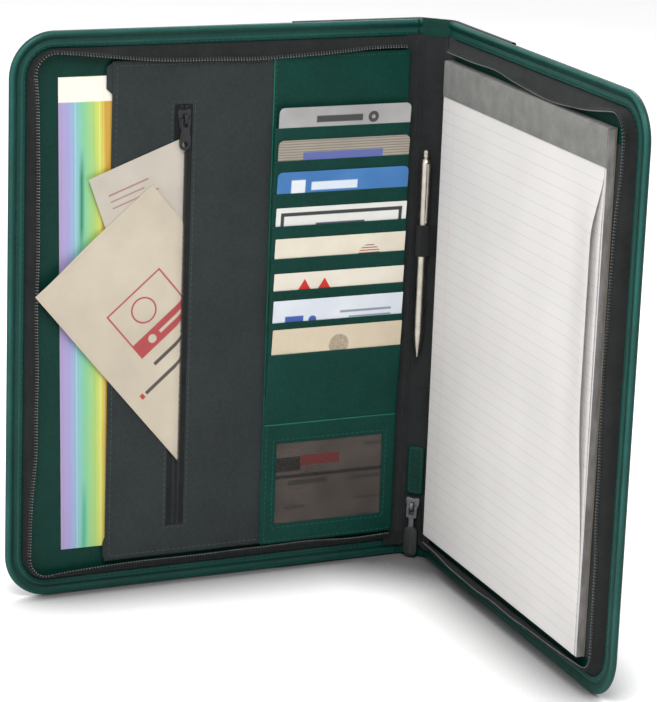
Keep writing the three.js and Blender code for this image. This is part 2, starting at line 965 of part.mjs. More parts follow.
function penLoop() {
  const inner = penRadius + gap;
  const outer = inner + loopThickness;
  const foot = -(spineFace + gap);
  const footEnd = spineHalfWidth - gap;
  const arch = new THREE.Shape();
  arch.moveTo(-footEnd, foot);
  arch.lineTo(penX - inner, foot);
  arch.lineTo(penX - inner, -penLevel);
  arch.absarc(penX, -penLevel, inner, Math.PI, Math.PI * 2, false);
  arch.lineTo(penX + inner, foot);
  arch.lineTo(footEnd, foot);
  arch.lineTo(footEnd, foot - loopThickness);
  arch.lineTo(penX + outer, foot - loopThickness);
  arch.lineTo(penX + outer, -penLevel);
  arch.absarc(penX, -penLevel, outer, Math.PI * 2, Math.PI, true);
  arch.lineTo(penX - outer, foot - loopThickness);
  arch.lineTo(-footEnd, foot - loopThickness);
  const geometry = new THREE.ExtrudeGeometry(arch, {
    depth: loopHeight,
    bevelEnabled: false,
    curveSegments: 14,
  });
  geometry.translate(0, 0, loopMiddle - loopHeight / 2);
  return piece('pen_loop', geometry, material(colours.black, 0.9));
}

// A solid turned about the pen's axis from (radius, height) points
function penTurning(profile) {
  const geometry = new THREE.LatheGeometry(
    profile.map(([radius, height]) => new THREE.Vector2(radius, height)),
    20,
  );
  geometry.rotateX(Math.PI / 2);
  geometry.translate(penX, -penLevel, 0);
  return geometry;
}

function pen(silver) {
  const collarHeight = 1.6;
  const collarRadius = penRadius - 0.5;
  const lower = penTurning([
    [0, penTipHeight],
    [penPointRadius, penTipHeight],
    [penPointRadius * 1.8, penTipHeight + 2.4],
    [penRadius - 0.5, penTipHeight + penTaperLength - 5],
    [penRadius, penTipHeight + penTaperLength],
    [penRadius, penJointHeight],
    [0, penJointHeight],
  ]);
  const upper = penTurning([
    [0, penJointHeight],
    [penRadius, penJointHeight],
    [penRadius, penShoulderHeight - collarHeight],
    [collarRadius, penShoulderHeight],
    [0, penShoulderHeight],
  ]);
  const finial = penTurning([
    [0, penShoulderHeight],
    [penFinialRadius - 0.6, penShoulderHeight],
    [penFinialRadius, penShoulderHeight + collarHeight],
    [penFinialRadius, penTopHeight - collarHeight],
    [penFinialRadius - 1, penTopHeight],
    [0, penTopHeight],
  ]);
  const clipTop = penShoulderHeight - collarHeight;
  const clipFoot = clipTop - clipDrop;
  const footLength = 2.2;
  const stand = 0.9;
  const reach = penRadius + stand;
  const clip = join(
    faceBlock(-clipWidth / 2, clipWidth / 2, clipFoot, clipTop, reach, reach + clipThickness),
    faceBlock(
      -clipWidth / 2, clipWidth / 2, clipTop - footLength, clipTop, penRadius + layGap, reach + 0.1,
    ),
    faceBlock(
      -clipWidth / 2, clipWidth / 2, clipFoot, clipFoot + footLength, penRadius + layGap, reach + 0.1,
    ),
  );
  clip.rotateZ(-THREE.MathUtils.degToRad(clipAngle));
  clip.translate(penX, -penLevel, 0);
  return [
    piece('pen_lower_barrel', lower, silver),
    piece('pen_upper_barrel', upper, silver),
    piece('pen_finial', finial, silver),
    piece('pen_clip', clip, silver),
  ];
}

// Levels and places of the main zipper's parked end
const tailBack = spineFace + gap + 1;
const tailFace = tailBack + tailPlateThickness;
const mainChannelBack = tailBack - layGap;
const mainChannelFace = tailFace + tailCoilHeight + layGap;
const mainSliderFace = mainChannelFace + mainSliderPlate;
const mainPullAxis = {
  z: mainSliderFoot + mainSliderLength / 2,
  n: mainSliderFace + pullAxisRise,
};

// One tail of the main zipper's tape: it runs up the spine from a cover's lower corner
// into the slider, with its row of teeth along its inner edge.
function tapeTail(side, name, black) {
  const slit = sliderPostWidth / 2 + gap;
  const top = mainSliderFoot + mainSliderLength - 1;
  const bend = mainSliderFoot - 4;
  const shape = new THREE.Shape();
  shape.moveTo(side * (slit + tailSpread - tailTapeWidth / 2), tailFoot);
  shape.lineTo(side * (slit + tailSpread - tailTapeWidth / 2 + tailTapeWidth * 0.6), tailFoot);
  shape.lineTo(side * (slit + tailTapeWidth), bend);
  shape.lineTo(side * (slit + tailTapeWidth), top);
  shape.lineTo(side * slit, top);
  shape.lineTo(side * slit, bend);
  const coil = new THREE.Shape();
  coil.moveTo(side * (slit + tailSpread - tailTapeWidth / 2), tailFoot);
  coil.lineTo(side * (slit + tailSpread - tailTapeWidth / 2 + tailCoilWidth), tailFoot);
  coil.lineTo(side * (slit + tailCoilWidth), bend);
  coil.lineTo(side * (slit + tailCoilWidth), top);
  coil.lineTo(side * slit, top);
  coil.lineTo(side * slit, bend);
  return piece(
    name,
    join(slab(shape, tailBack, tailFace), slab(coil, tailBack, tailFace + tailCoilHeight)),
    black,
  );
}

function zipperEnd(leather, black, metal) {
  const tab = slab(
    rectangle(1, -tabWidth / 2, tabWidth / 2, tabFoot, tabFoot + tabHeight, 2.5),
    spineFace + gap,
    spineFace + gap + tabThickness,
  );
  return [
    piece('zipper_end_tab', tab, leather),
    tapeTail(-1, 'front_tape_tail', black),
    tapeTail(1, 'back_tape_tail', black),
    piece(
      'main_slider',
      sliderBody({
        x: 0,
        foot: mainSliderFoot,
        width: mainSliderWidth,
        length: mainSliderLength,
        plate: mainSliderPlate,
        back: spineFace + gap,
        channelBack: mainChannelBack,
        channelFace: mainChannelFace,
      }),
      metal,
    ),
  ];
}

function mainPull(metal, rubber) {
  const shankHalf = mainLinkWidth / 4;
  const gripTop = -(mainPullReach + mainSliderLength / 2 - mainGripLength);
  const gripFoot = gripTop - mainGripLength;
  const link = join(
    pullFrame(mainLinkWidth, mainLinkThickness, eyeLength + 2),
    faceBlock(
      -shankHalf, shankHalf,
      gripTop - mainGripInsert, -(eyeLength + 1),
      -mainLinkThickness / 2, mainLinkThickness / 2,
    ),
  );
  const socketHalf = shankHalf + layGap;
  const socketLevel = mainLinkThickness / 2 + layGap;
  const grip = cut(
    slab(
      rectangle(1, -mainGripWidth / 2, mainGripWidth / 2, gripFoot, gripTop, 2),
      -mainGripThickness / 2,
      mainGripThickness / 2,
    ),
    faceBlock(
      -socketHalf, socketHalf,
      gripTop - mainGripInsert - layGap, gripTop + 1,
      -socketLevel, socketLevel,
    ),
  );
  const linkMesh = piece('main_pull_link', link, metal);
  const gripMesh = piece('main_pull_grip', grip, rubber);
  for (const mesh of [linkMesh, gripMesh]) {
    mesh.position.set(0, -mainPullAxis.n, mainPullAxis.z);
  }
  return [linkMesh, gripMesh];
}

// Assembly

function cover(side, pieces) {
  const group = new THREE.Group();
  group.position.set(side * hingeSpacing / 2, 0, 0);
  group.rotation.z = -side * restAngle;
  group.add(...pieces);
  return group;
}

const leather = material(colours.green, 0.55);
const black = material(colours.black, 0.75);
const cloth = material(colours.charcoal, 0.7);
const stiff = material(colours.board, 0.9);
const silver = material(colours.silver, 0.3, 0.9);
const darkMetal = material(colours.darkMetal, 0.4, 0.8);
const greyMetal = material(colours.metal, 0.35, 0.8);
const rubber = material(0x1f2223, 0.6);

const padfolio = new THREE.Group();
padfolio.add(
  ...spinePieces(black, stiff),
  penLoop(),
  ...pen(silver),
  ...zipperEnd(leather, black, greyMetal),
  ...mainPull(greyMetal, rubber),
  cover(-1, [
    ...coverShell(-1, 'front', leather, black, stiff),
    ...papers(-1),
    ...zipPocket(-1, cloth),
    ...pocketSlider(-1, darkMetal),
    ...pocketPull(-1, darkMetal),
    ...cardColumn(-1, leather),
    ...identityPocket(-1, leather),
  ]),
  cover(1, [
    ...coverShell(1, 'back', leather, black, stiff),
    ...writingPad(1, cloth),
  ]),
);
padfolio.updateMatrixWorld(true);

export default padfolio;
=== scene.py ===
# A zippered padfolio that stands open on the bottom edges of its two covers

import math
import random

import bmesh
import bpy
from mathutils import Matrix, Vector

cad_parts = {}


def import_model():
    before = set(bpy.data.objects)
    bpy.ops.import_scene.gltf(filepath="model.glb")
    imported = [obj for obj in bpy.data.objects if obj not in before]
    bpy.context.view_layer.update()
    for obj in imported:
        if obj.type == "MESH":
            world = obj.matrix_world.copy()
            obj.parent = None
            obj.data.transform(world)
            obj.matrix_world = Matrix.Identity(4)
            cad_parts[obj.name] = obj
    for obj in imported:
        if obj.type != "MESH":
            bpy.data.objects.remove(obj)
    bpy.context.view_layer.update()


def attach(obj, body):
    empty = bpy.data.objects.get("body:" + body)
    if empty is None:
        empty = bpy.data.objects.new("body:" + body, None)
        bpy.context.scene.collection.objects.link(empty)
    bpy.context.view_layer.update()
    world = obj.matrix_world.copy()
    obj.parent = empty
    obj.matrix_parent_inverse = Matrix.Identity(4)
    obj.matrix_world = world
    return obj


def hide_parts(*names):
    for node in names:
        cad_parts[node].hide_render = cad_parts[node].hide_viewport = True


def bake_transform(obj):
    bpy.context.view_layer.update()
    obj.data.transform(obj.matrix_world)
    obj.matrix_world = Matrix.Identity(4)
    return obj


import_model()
random.seed(11)

# Shapes are in millimetres until a mesh is made. Lights and the camera are in metres.
MM = 0.001
FRONT = -1
BACK = 1

# Sizes of the case
COVER_WIDTH = 258.0
COVER_HEIGHT = 336.0
CORNER_RADIUS = 27.0
FOLD_X = 10.5
TURN = math.radians(47.0)
WRAP_WIDTH = 83.0
WRAP_BACK = -2.35
SPINE_FACE = 0.9
SPINE_FLAT = 7.3
SPINE_BAND = 9.8
TAPE_START = 10.4
POCKET_START = 8.9
POCKET_INSET = 18.1

# Layers of the front cover
BROCHURE_BOX = (12.9, 229.0, 28.0, 309.0)
POCKET_EDGE = 197.0
POCKET_FACE = 5.45
SLOT_MIDDLE = 153.0
SLOT_WIDTH = 11.0
SLOT_FOOT = 37.0
SLOT_TOP = 291.0
LETTER_CORNER = (211.0, 250.0)
LETTER_TURN = math.radians(20.5)
LETTER_SIZE = (96.0, 84.0)
ENVELOPE_CORNER = (243.5, 184.0)
ENVELOPE_TURN = math.radians(40.5)
ENVELOPE_SIZE = (94.0, 156.0)

# Card column
COLUMN_EDGE = 97.0
CARD_WIDTH = 85.6
CARD_HEIGHT = 54.0
PLASTIC_CORNER = 3.2
PLASTIC_THICKNESS = 0.76
PAPER_CORNER = 0.4
PAPER_THICKNESS = 0.4
CARD_SEAT = 6.15
CARD_SHOWS = (12.0, 12.2, 12.9, 11.0, 12.0, 10.5, 13.5, 15.5)
STRIP_HEIGHT = 44.0
TOP_STRIP = 275.2
STRIP_PITCH = 19.586
STRIP_TILT = math.radians(4.42)
ID_FOOT = 18.4
ID_TOP = 93.8
ID_WINDOW = (17.45, 88.45, 30.6, 81.6)

# Writing pad
PAD_EDGE = 225.0
PAD_FOOT = 18.6
PAD_TOP = 313.4
HEADER_HEIGHT = 21.0
PAD_FACE = 8.0
RULE_PITCH = 7.14
PAD_MARGIN = 16.0

# Pen and the zipper's parked end
PEN_X = -1.5
PEN_LEVEL = 4.5
PEN_RADIUS = 3.3
PEN_TIP = 129.0
PEN_TOP = 258.0
PEN_JOINT = 201.0
RIBS_TOP = 190.0
RIB_PITCH = 1.7
LOOP_FOOT = 192.5
LOOP_TOP = 211.5
TAB_FOOT = 40.5
TAB_TOP = 71.5
SLIDER_FOOT = 27.0
SLIDER_TOP = 39.0
MAIN_PULL_AXIS = (33.0, 5.45)
POCKET_PULL_AXIS = (282.5, 8.05)

# How finely shapes are divided
EDGE_STEPS = (0.0, 0.35, 0.9, 1.8)
CORNER_STEPS = 14
ROUND_STEPS = 28

# Teeth and sewing
TOOTH_PITCH = 1.75
POCKET_TOOTH_PITCH = 1.3
STITCH_PITCH = 3.3
STITCH_LENGTH = 2.4
STITCH_SIZE = 0.42


# Places


def cover(side, u, v, n):
    """A point of a cover: u out from the fold, v up, n off the cover towards the reader."""
    x = side * (FOLD_X + u * math.cos(TURN) - n * math.sin(TURN))
    return Vector((x, -u * math.sin(TURN) - n * math.cos(TURN), v))


def front(u, v, n):
    return cover(FRONT, u, v, n)


def back(u, v, n):
    return cover(BACK, u, v, n)


PLACES = {FRONT: front, BACK: back}


def spine(x, v, n):
    return Vector((x, -n, v))


def steps(start, end, pitch):
    count = max(1, round(abs(end - start) / pitch))
    return [start + (end - start) * i / count for i in range(count + 1)]


def edged(start, end, pitch):
    """Steps that lie closer together near both ends, for a rolled edge."""
    inner = steps(start + EDGE_STEPS[-1], end - EDGE_STEPS[-1], pitch)
    low = [start + step for step in EDGE_STEPS[:-1]]
    return low + inner + [start + end - value for value in reversed(low)]


def neighbours(line, k):
    """What lies before and after a place on an open line."""
    return line[max(0, k - 1)], line[min(len(line) - 1, k + 1)]


def smooth(value):
    value = min(1.0, max(0.0, value))
    return value * value * (3 - 2 * value)


def wave(seed, height, length):
    """A gentle, uneven wave of about this height and length."""
    source = random.Random(seed)
    parts = [
        (height * share, math.tau / (length * stretch), source.uniform(0, math.tau))
        for share, stretch in ((0.55, 1.0), (0.3, 0.57), (0.2, 1.73))
    ]
    return lambda s: sum(h * math.sin(rate * s + phase) for h, rate, phase in parts)


def roll(distance, width=1.6, depth=0.35):
    """How far a sheet's face drops at this distance from its edge."""
    share = min(1.0, max(0.0, distance / width))
    return depth * (1 - math.sqrt(1 - (1 - share) ** 2))


# Meshes


class Form:
    """Points, faces and flat coordinates of one piece."""

    def __init__(self):
        self.points = []
        self.flat = []
        self.faces = []
        self.slots = []

    def point(self, place, flat=(0.0, 0.0)):
        self.points.append(place)
        self.flat.append(flat)
        return len(self.points) - 1

    def face(self, corners, slot=0):
        self.faces.append(tuple(corners))
        self.slots.append(slot)

    def rows(self, rows, flats=None, slot=0, closed=False, capped=False):
        """Joins rows of points into a surface."""
        rings = []
        for i, row in enumerate(rows):
            flat = flats[i] if flats else [(0.0, 0.0)] * len(row)
            rings.append([self.point(p, f) for p, f in zip(row, flat)])
        for low, high in zip(rings, rings[1:]):
            count = len(low)
            for j in range(count if closed else count - 1):
                k = (j + 1) % count
                self.face((low[j], low[k], high[k], high[j]), slot)
        if capped:
            self.face(reversed(rings[0]), slot)
            self.face(rings[-1], slot)
        return rings

    def make(self, name, body, looks, replaces=(), sharp=38):
        mesh = bpy.data.meshes.new(name)
        mesh.from_pydata([p * MM for p in self.points], [], self.faces)
        layer = mesh.uv_layers.new(name="flat")
        for loop in mesh.loops:
            layer.data[loop.index].uv = self.flat[loop.vertex_index]
        for polygon, slot in zip(mesh.polygons, self.slots):
            polygon.material_index = slot
        work = bmesh.new()
        work.from_mesh(mesh)
        loose = [v for v in work.verts if not v.link_faces]
        bmesh.ops.delete(work, geom=loose, context="VERTS")
        bmesh.ops.recalc_face_normals(work, faces=work.faces)
        work.to_mesh(mesh)
        work.free()
        mesh.shade_smooth()
        mesh.set_sharp_from_angle(angle=math.radians(sharp))
        for look in looks:
            mesh.materials.append(look)
        piece = bpy.data.objects.new(name, mesh)
        bpy.context.scene.collection.objects.link(piece)
        if body:
            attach(piece, body)
        if replaces:
            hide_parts(*replaces)
        return piece


def plate(form, place, across, up, top, thick, hole=None, slot=0, flat=None):
    """A sheet over a grid, whose face lies at level top(a, b)."""
    made = {}

    def corner(i, j, under):
        key = (i, j, under)
        if key not in made:
            a, b = across[i], up[j]
            level = top(a, b) - (thick if under else 0.0)
            made[key] = form.point(place(a, b, level), flat(a, b) if flat else (a, b))
        return made[key]

    cells = set()
    for i in range(len(across) - 1):
        for j in range(len(up) - 1):
            a = (across[i] + across[i + 1]) / 2
            b = (up[j] + up[j + 1]) / 2
            if not (hole and hole(a, b)):
                cells.add((i, j))
    for i, j in cells:
        ring = ((i, j), (i + 1, j), (i + 1, j + 1), (i, j + 1))
        beside = ((i, j - 1), (i + 1, j), (i, j + 1), (i - 1, j))
        form.face([corner(*c, False) for c in ring], slot)
        form.face([corner(*c, True) for c in reversed(ring)], slot)
        for k in range(4):
            if beside[k] not in cells:
                c, d = ring[k], ring[(k + 1) % 4]
                wall = (corner(*c, True), corner(*d, True), corner(*d, False), corner(*c, False))
                form.face(wall, slot)


def rounded(width, height, radius, turns=5, middle=(0.0, 0.0)):
    """An outline with round corners: pairs of a point and the way out."""
    outline = []
    for quarter in range(4):
        sx = 1 if quarter in (0, 3) else -1
        sy = 1 if quarter in (0, 1) else -1
        cx = middle[0] + sx * (width / 2 - radius)
        cy = middle[1] + sy * (height / 2 - radius)
        for k in range(turns + 1):
            angle = math.pi / 2 * (quarter + k / turns)
            way = (math.cos(angle), math.sin(angle))
            outline.append(((cx + radius * way[0], cy + radius * way[1]), way))
    return outline


def slab(form, place, outline, levels, flat=None):
    """A solid from rings of one outline: levels are (inset, level) pairs from back to face."""
    rows, flats = [], []
    for inset, level in levels:
        ring = [(p[0] - w[0] * inset, p[1] - w[1] * inset) for p, w in outline]
        rows.append([place(a, b, level) for a, b in ring])
        flats.append([flat(a, b) if flat else (a, b) for a, b in ring])
    form.rows(rows, flats, closed=True, capped=True)


def bar(form, place, outline, inset, face, side):
    """A flat bar with softened edges, from its faces' and its sides' distance off the middle."""
    slab(form, place, outline, ((inset, -face), (0, -side), (0, side), (inset, face)))


def turned(form, place, middle, profile):
    """A solid turned about an upright axis from (radius, height) pairs."""
    turns = [math.tau * k / ROUND_STEPS for k in range(ROUND_STEPS)]
    rows, flats = [], []
    for radius, height in profile:
        rows.append([
            place(middle[0] + radius * math.cos(turn), height, middle[1] + radius * math.sin(turn))
            for turn in turns
        ])
        flats.append([(radius * turn, height) for turn in turns])
    form.rows(rows, flats, closed=True, capped=True)


def bead(form, middle, along, out, length, width, height, slot=0):
    """A small six-sided bar with tapered ends, such as a stitch or a tooth."""
    along = along.normalized()
    out = (out - along * out.dot(along)).normalized()
    side = along.cross(out)
    rings = []
    for share in (-0.34, 0.34):
        ring = []
        for k in range(6):
            angle = math.tau * (k + 0.5) / 6
            offset = side * (math.cos(angle) * width / 2)
            offset += out * (math.sin(angle) * height / 2)
            ring.append(form.point(middle + along * (share * length) + offset))
        rings.append(ring)
    tips = [form.point(middle + along * (share * length)) for share in (-0.5, 0.5)]
    for k in range(6):
        m = (k + 1) % 6
        form.face((rings[0][k], rings[0][m], rings[1][m], rings[1][k]), slot)
        form.face((rings[0][m], rings[0][k], tips[0]), slot)
        form.face((rings[1][k], rings[1][m], tips[1]), slot)


def walk(line, pitch):
    """Even places along a line of (a, b) points: each with its direction."""
    spots = []
    left = pitch / 2
    for (a0, b0), (a1, b1) in zip(line, line[1:]):
        length = math.hypot(a1 - a0, b1 - b0)
        if length < 1e-6:
            continue
        way = ((a1 - a0) / length, (b1 - b0) / length)
        while left <= length:
            spots.append((a0 + way[0] * left, b0 + way[1] * left, way))
            left += pitch
        left -= length
    return spots


def frame_line(left, right, low, high):
    """A closed line round four sides."""
    return [(left, low), (right, low), (right, high), (left, high), (left, low)]


def stitches(form, place, line, level):
    """A row of sewn stitches along a line. level is a number or a function of (a, b)."""
    for a, b, (wa, wb) in walk(line, STITCH_PITCH):
        n = level(a, b) if callable(level) else level
        middle = place(a, b, n)
        along = place(a + wa, b + wb, n) - middle
        out = place(a, b, n + 1) - middle
        bead(form, middle, along, out, STITCH_LENGTH, STITCH_SIZE, STITCH_SIZE * 0.9, slot=1)


# Runs along a cover's three free edges


def corner_spots(u, v, first):
    """Places round a quarter turn about (u, v): each with the way in."""
    spots = []
    for k in range(1, CORNER_STEPS + 1):
        angle = first + math.pi / 2 * k / CORNER_STEPS
        out_u, out_v = math.cos(angle), math.sin(angle)
        spots.append(((u + CORNER_RADIUS * out_u, v + CORNER_RADIUS * out_v), (-out_u, -out_v)))
    return spots


def edge_stations(start, pitch=4.0):
    """Places on the outline: (u, v), the way in and the run so far."""
    far = COVER_WIDTH - CORNER_RADIUS
    high = COVER_HEIGHT - CORNER_RADIUS
    spots = [((u, 0.0), (0.0, 1.0)) for u in steps(start, far, pitch)]
    spots += corner_spots(far, CORNER_RADIUS, -math.pi / 2)
    spots += [((COVER_WIDTH, v), (-1.0, 0.0)) for v in steps(CORNER_RADIUS, high, pitch)[1:]]
    spots += corner_spots(far, high, 0.0)
    spots += [((u, COVER_HEIGHT), (0.0, -1.0)) for u in steps(far, start, pitch)[1:]]
    stations, run, last = [], 0.0, None
    for spot, way in spots:
        if last:
            run += math.hypot(spot[0] - last[0], spot[1] - last[1])
        stations.append((spot, way, run))
        last = spot
    return stations


def inset_place(station, inset):
    (u, v), (in_u, in_v) = station[:2]
    return u + in_u * inset, v + in_v * inset


def sweep(form, side, stations, section, closed=False):
    """Carries a section of (inset, level) pairs along the edges."""
    rows, flats = [], []
    for station in stations:
        row, flat, width, last = [], [], 0.0, None
        for inset, level in section(station[2]):
            u, v = inset_place(station, inset)
            row.append(cover(side, u, v, level))
            if last:
                width += math.hypot(inset - last[0], level - last[1])
            last = (inset, level)
            flat.append((station[2], width))
        rows.append(row)
        flats.append(flat)
    return form.rows(rows, flats, closed=closed, capped=closed)


def edge_line(inset, start):
    return [inset_place(station, inset) for station in edge_stations(start)]


# Materials


def paint(red, green, blue):
    """A colour as it is seen, from 0 to 255, as the shader's colour."""

    def linear(value):
        value /= 255
        return value / 12.92 if value <= 0.04045 else ((value + 0.055) / 1.055) ** 2.4

    return (linear(red), linear(green), linear(blue), 1.0)


class Look:
    """A material drawn with nodes. Lengths in its patterns are millimetres."""

    def __init__(self, name, specular=0.3, metallic=0.0, coat=0.0, sheen=0.0):
        self.material = bpy.data.materials.new(name)
        self.material.use_nodes = True
        self.tree = self.material.node_tree
        self.shader = self.tree.nodes["Principled BSDF"]
        for key, value in (
            ("Specular IOR Level", specular), ("Metallic", metallic), ("Coat Weight", coat),
            ("Coat Roughness", 0.25), ("Sheen Weight", sheen), ("Sheen Roughness", 0.5),
        ):
            self.shader.inputs[key].default_value = value
        places = self.node("TexCoord")
        grow = self.node("VectorMath", operation="SCALE")
        self.join(places.outputs["Object"], grow.inputs[0])
        grow.inputs["Scale"].default_value = 1000.0
        self.solid = grow.outputs[0]
        self.flat = places.outputs["UV"]
        split = self.node("SeparateXYZ")
        self.join(self.flat, split.inputs[0])
        self.a = split.outputs[0]
        self.b = split.outputs[1]

    def node(self, kind, **settings):
        node = self.tree.nodes.new("ShaderNode" + kind)
        for key, value in settings.items():
            setattr(node, key, value)
        return node

    def join(self, value, socket):
        """Links a node's result, or sets a number or a colour."""
        if isinstance(value, bpy.types.NodeSocket):
            self.tree.links.new(value, socket)
        elif isinstance(value, tuple):
            socket.default_value = paint(*value)
        else:
            socket.default_value = value

    def math(self, operation, first, second=0.0, clamp=False):
        node = self.node("Math", operation=operation, use_clamp=clamp)
        self.join(first, node.inputs[0])
        self.join(second, node.inputs[1])
        return node.outputs[0]

    def times(self, first, second):
        return self.math("MULTIPLY", first, second)

    def most(self, first, second):
        return self.math("MAXIMUM", first, second)

    def less(self, first, second):
        """What is left of the first mask outside the second."""
        return self.math("SUBTRACT", first, second, clamp=True)

    def noise(self, size, detail=3.0, rough=0.55, stretch=(1.0, 1.0, 1.0)):
        place = self.node("Mapping")
        self.join(self.solid, place.inputs["Vector"])
        place.inputs["Scale"].default_value = tuple(s / size for s in stretch)
        node = self.node("TexNoise")
        self.join(place.outputs[0], node.inputs["Vector"])
        for key, value in (("Scale", 1.0), ("Detail", detail), ("Roughness", rough)):
            node.inputs[key].default_value = value
        return node.outputs["Fac"]

    def pebbles(self, size):
        node = self.node("TexVoronoi", feature="SMOOTH_F1")
        self.join(self.solid, node.inputs["Vector"])
        node.inputs["Scale"].default_value = 1.0 / size
        return node.outputs["Distance"]

    def range(self, value, low, high, to_low=0.0, to_high=1.0):
        node = self.node("MapRange", clamp=True)
        self.join(value, node.inputs[0])
        for index, number in enumerate((low, high, to_low, to_high)):
            self.join(number, node.inputs[index + 1])
        return node.outputs[0]

    def band(self, value, low, high, soft=0.15):
        """1 between low and high, 0 outside."""
        rise = self.range(value, low - soft, low + soft)
        fall = self.range(value, high - soft, high + soft, 1.0, 0.0)
        return self.times(rise, fall)

    def box(self, left, right, low, high, soft=0.3):
        return self.times(self.band(self.a, left, right, soft), self.band(self.b, low, high, soft))

    def disc(self, a, b, radius):
        across = self.math("SUBTRACT", self.a, a)
        up = self.math("SUBTRACT", self.b, b)
        squares = self.math("ADD", self.times(across, across), self.times(up, up))
        return self.range(self.math("SQRT", squares), radius - 0.2, radius + 0.2, 1.0, 0.0)

    def mix(self, share, first, second):
        node = self.node("Mix", data_type="RGBA")
        self.join(share, node.inputs["Factor"])
        colours = [s for s in node.inputs if s.type == "RGBA"]
        self.join(first, colours[0])
        self.join(second, colours[1])
        return [s for s in node.outputs if s.type == "RGBA"][0]

    def ramp(self, value, stops):
        node = self.node("ValToRGB")
        marks = node.color_ramp.elements
        while len(marks) < len(stops):
            marks.new(0.5)
        for mark, (where, colour) in zip(marks, stops):
            mark.position = where
            mark.color = paint(*colour)
        self.join(value, node.inputs["Fac"])
        return node.outputs["Color"]

    def bump(self, height, distance):
        node = self.node("Bump")
        self.join(height, node.inputs["Height"])
        node.inputs["Distance"].default_value = distance * MM
        node.inputs["Strength"].default_value = 1.0
        self.join(node.outputs["Normal"], self.shader.inputs["Normal"])

    def mottled(self, size, first, second, detail=3.0):
        """Two colours mixed in soft clouds of about this size."""
        return self.mix(self.range(self.noise(size, detail), 0.3, 0.7), first, second)

    def finish(self, colour, pattern, low, high):
        """Sets the colour, and a roughness that runs from low to high with a pattern."""
        self.join(colour, self.shader.inputs["Base Color"])
        self.join(self.range(pattern, 0.3, 0.7, low, high), self.shader.inputs["Roughness"])
        return self.material


def leatherette(name, dark, light, depth=0.05, rough=(0.38, 0.52), specular=0.16, painted_highlights=()):
    """Grained leatherette, with painted highlights: ridges along a sweep, given as (middle, half width,
    strength), are painted a lighter teal in patches.
    """
    look = Look(name, specular=specular)
    cloudy = look.noise(38.0, 4.0)
    fine = look.noise(2.2, 3.0)
    share = look.times(look.math("ADD", cloudy, fine), 0.5)
    colour = look.mix(look.range(share, 0.36, 0.64), dark, light)
    patchy = look.range(look.noise(26.0, 3.0), 0.35, 0.65, 0.55, 1.0)
    # Painted highlight: each ridge is painted a lighter teal, in patches.
    for middle, half, strength in painted_highlights:
        ridge_highlight = look.band(look.b, middle - half, middle + half, half)
        amount = look.times(look.times(ridge_highlight, patchy), strength)
        colour = look.mix(amount, colour, RIDGE_HIGHLIGHT_TINT)
    height = look.math("ADD", look.times(look.pebbles(0.9), 0.8), look.noise(5.5, 3.0))
    look.bump(height, depth * 3)
    return look.finish(colour, look.noise(9.0), *rough)


def woven(name, dark, light, pitch=0.62, depth=0.12, sheen=0.25):
    look = Look(name, specular=0.2, sheen=sheen)
    across = look.math("SINE", look.times(look.a, math.tau / pitch))
    up = look.math("SINE", look.times(look.b, math.tau / pitch))
    threads = look.times(across, up)
    share = look.math("ADD", look.range(threads, -1.0, 1.0, 0.0, 0.5), look.noise(14.0))
    look.bump(threads, depth)
    colour = look.mix(look.range(share, 0.35, 0.95), dark, light)
    return look.finish(colour, look.noise(3.0), 0.72, 0.9)


def paper(name, base, shade, specular=0.25, rough=(0.6, 0.75), marks=()):
    """Paper or card with a fine tooth. marks are (mask maker, colour) pairs."""
    look = Look(name, specular=specular)
    fibres = look.noise(0.8, 4.0, 0.6)
    colour = look.mottled(30.0, base, shade)
    for mask, tint in marks:
        colour = look.mix(mask(look), colour, tint)
    look.bump(fibres, 0.02)
    return look.finish(colour, fibres, *rough)


def metal(name, base, shade, rough):
    look = Look(name, specular=0.5, metallic=1.0)
    lines = look.noise(0.5, 3.0, 0.6, stretch=(1.0, 1.0, 0.06))
    colour = look.mottled(7.0, base, shade)
    look.bump(lines, 0.01)
    return look.finish(colour, lines, *rough)


def plastic(name, base, shade, rough=(0.3, 0.42), specular=0.45):
    look = Look(name, specular=specular)
    spots = look.noise(1.1, 3.0)
    colour = look.mottled(12.0, base, shade)
    look.bump(spots, 0.05)
    return look.finish(colour, spots, *rough)


# The lighter teal painted on the rim's ridges as a highlight.
RIDGE_HIGHLIGHT_TINT = (46, 124, 114)
GREEN_RIM = leatherette(
    "green_leatherette", (5, 48, 42), (8, 59, 52), rough=(0.34, 0.46), specular=0.24,
    painted_highlights=((28.6, 1.0, 0.45), (35.2, 0.5, 0.3), (37.3, 0.3, 0.2)),
)
GREEN = leatherette("green_lining", (4, 46, 38), (8, 56, 48))
GREEN_STRIP = leatherette("green_pocket", (5, 50, 42), (9, 61, 53), depth=0.035)
BLACK = leatherette("black_leatherette", (34, 37, 39), (46, 50, 52))
CHARCOAL = leatherette(
    "charcoal_leatherette", (40, 45, 46), (48, 54, 55), rough=(0.55, 0.68), specular=0.16
)
LINING_CLOTH = woven("black_cloth", (24, 26, 27), (42, 45, 46), sheen=0.1)
TAPE_CLOTH = woven("zipper_tape", (17, 18, 18), (34, 36, 36), pitch=0.8, sheen=0.06)
ELASTIC = woven("elastic", (16, 17, 18), (34, 36, 38), pitch=1.1, depth=0.3, sheen=0.1)
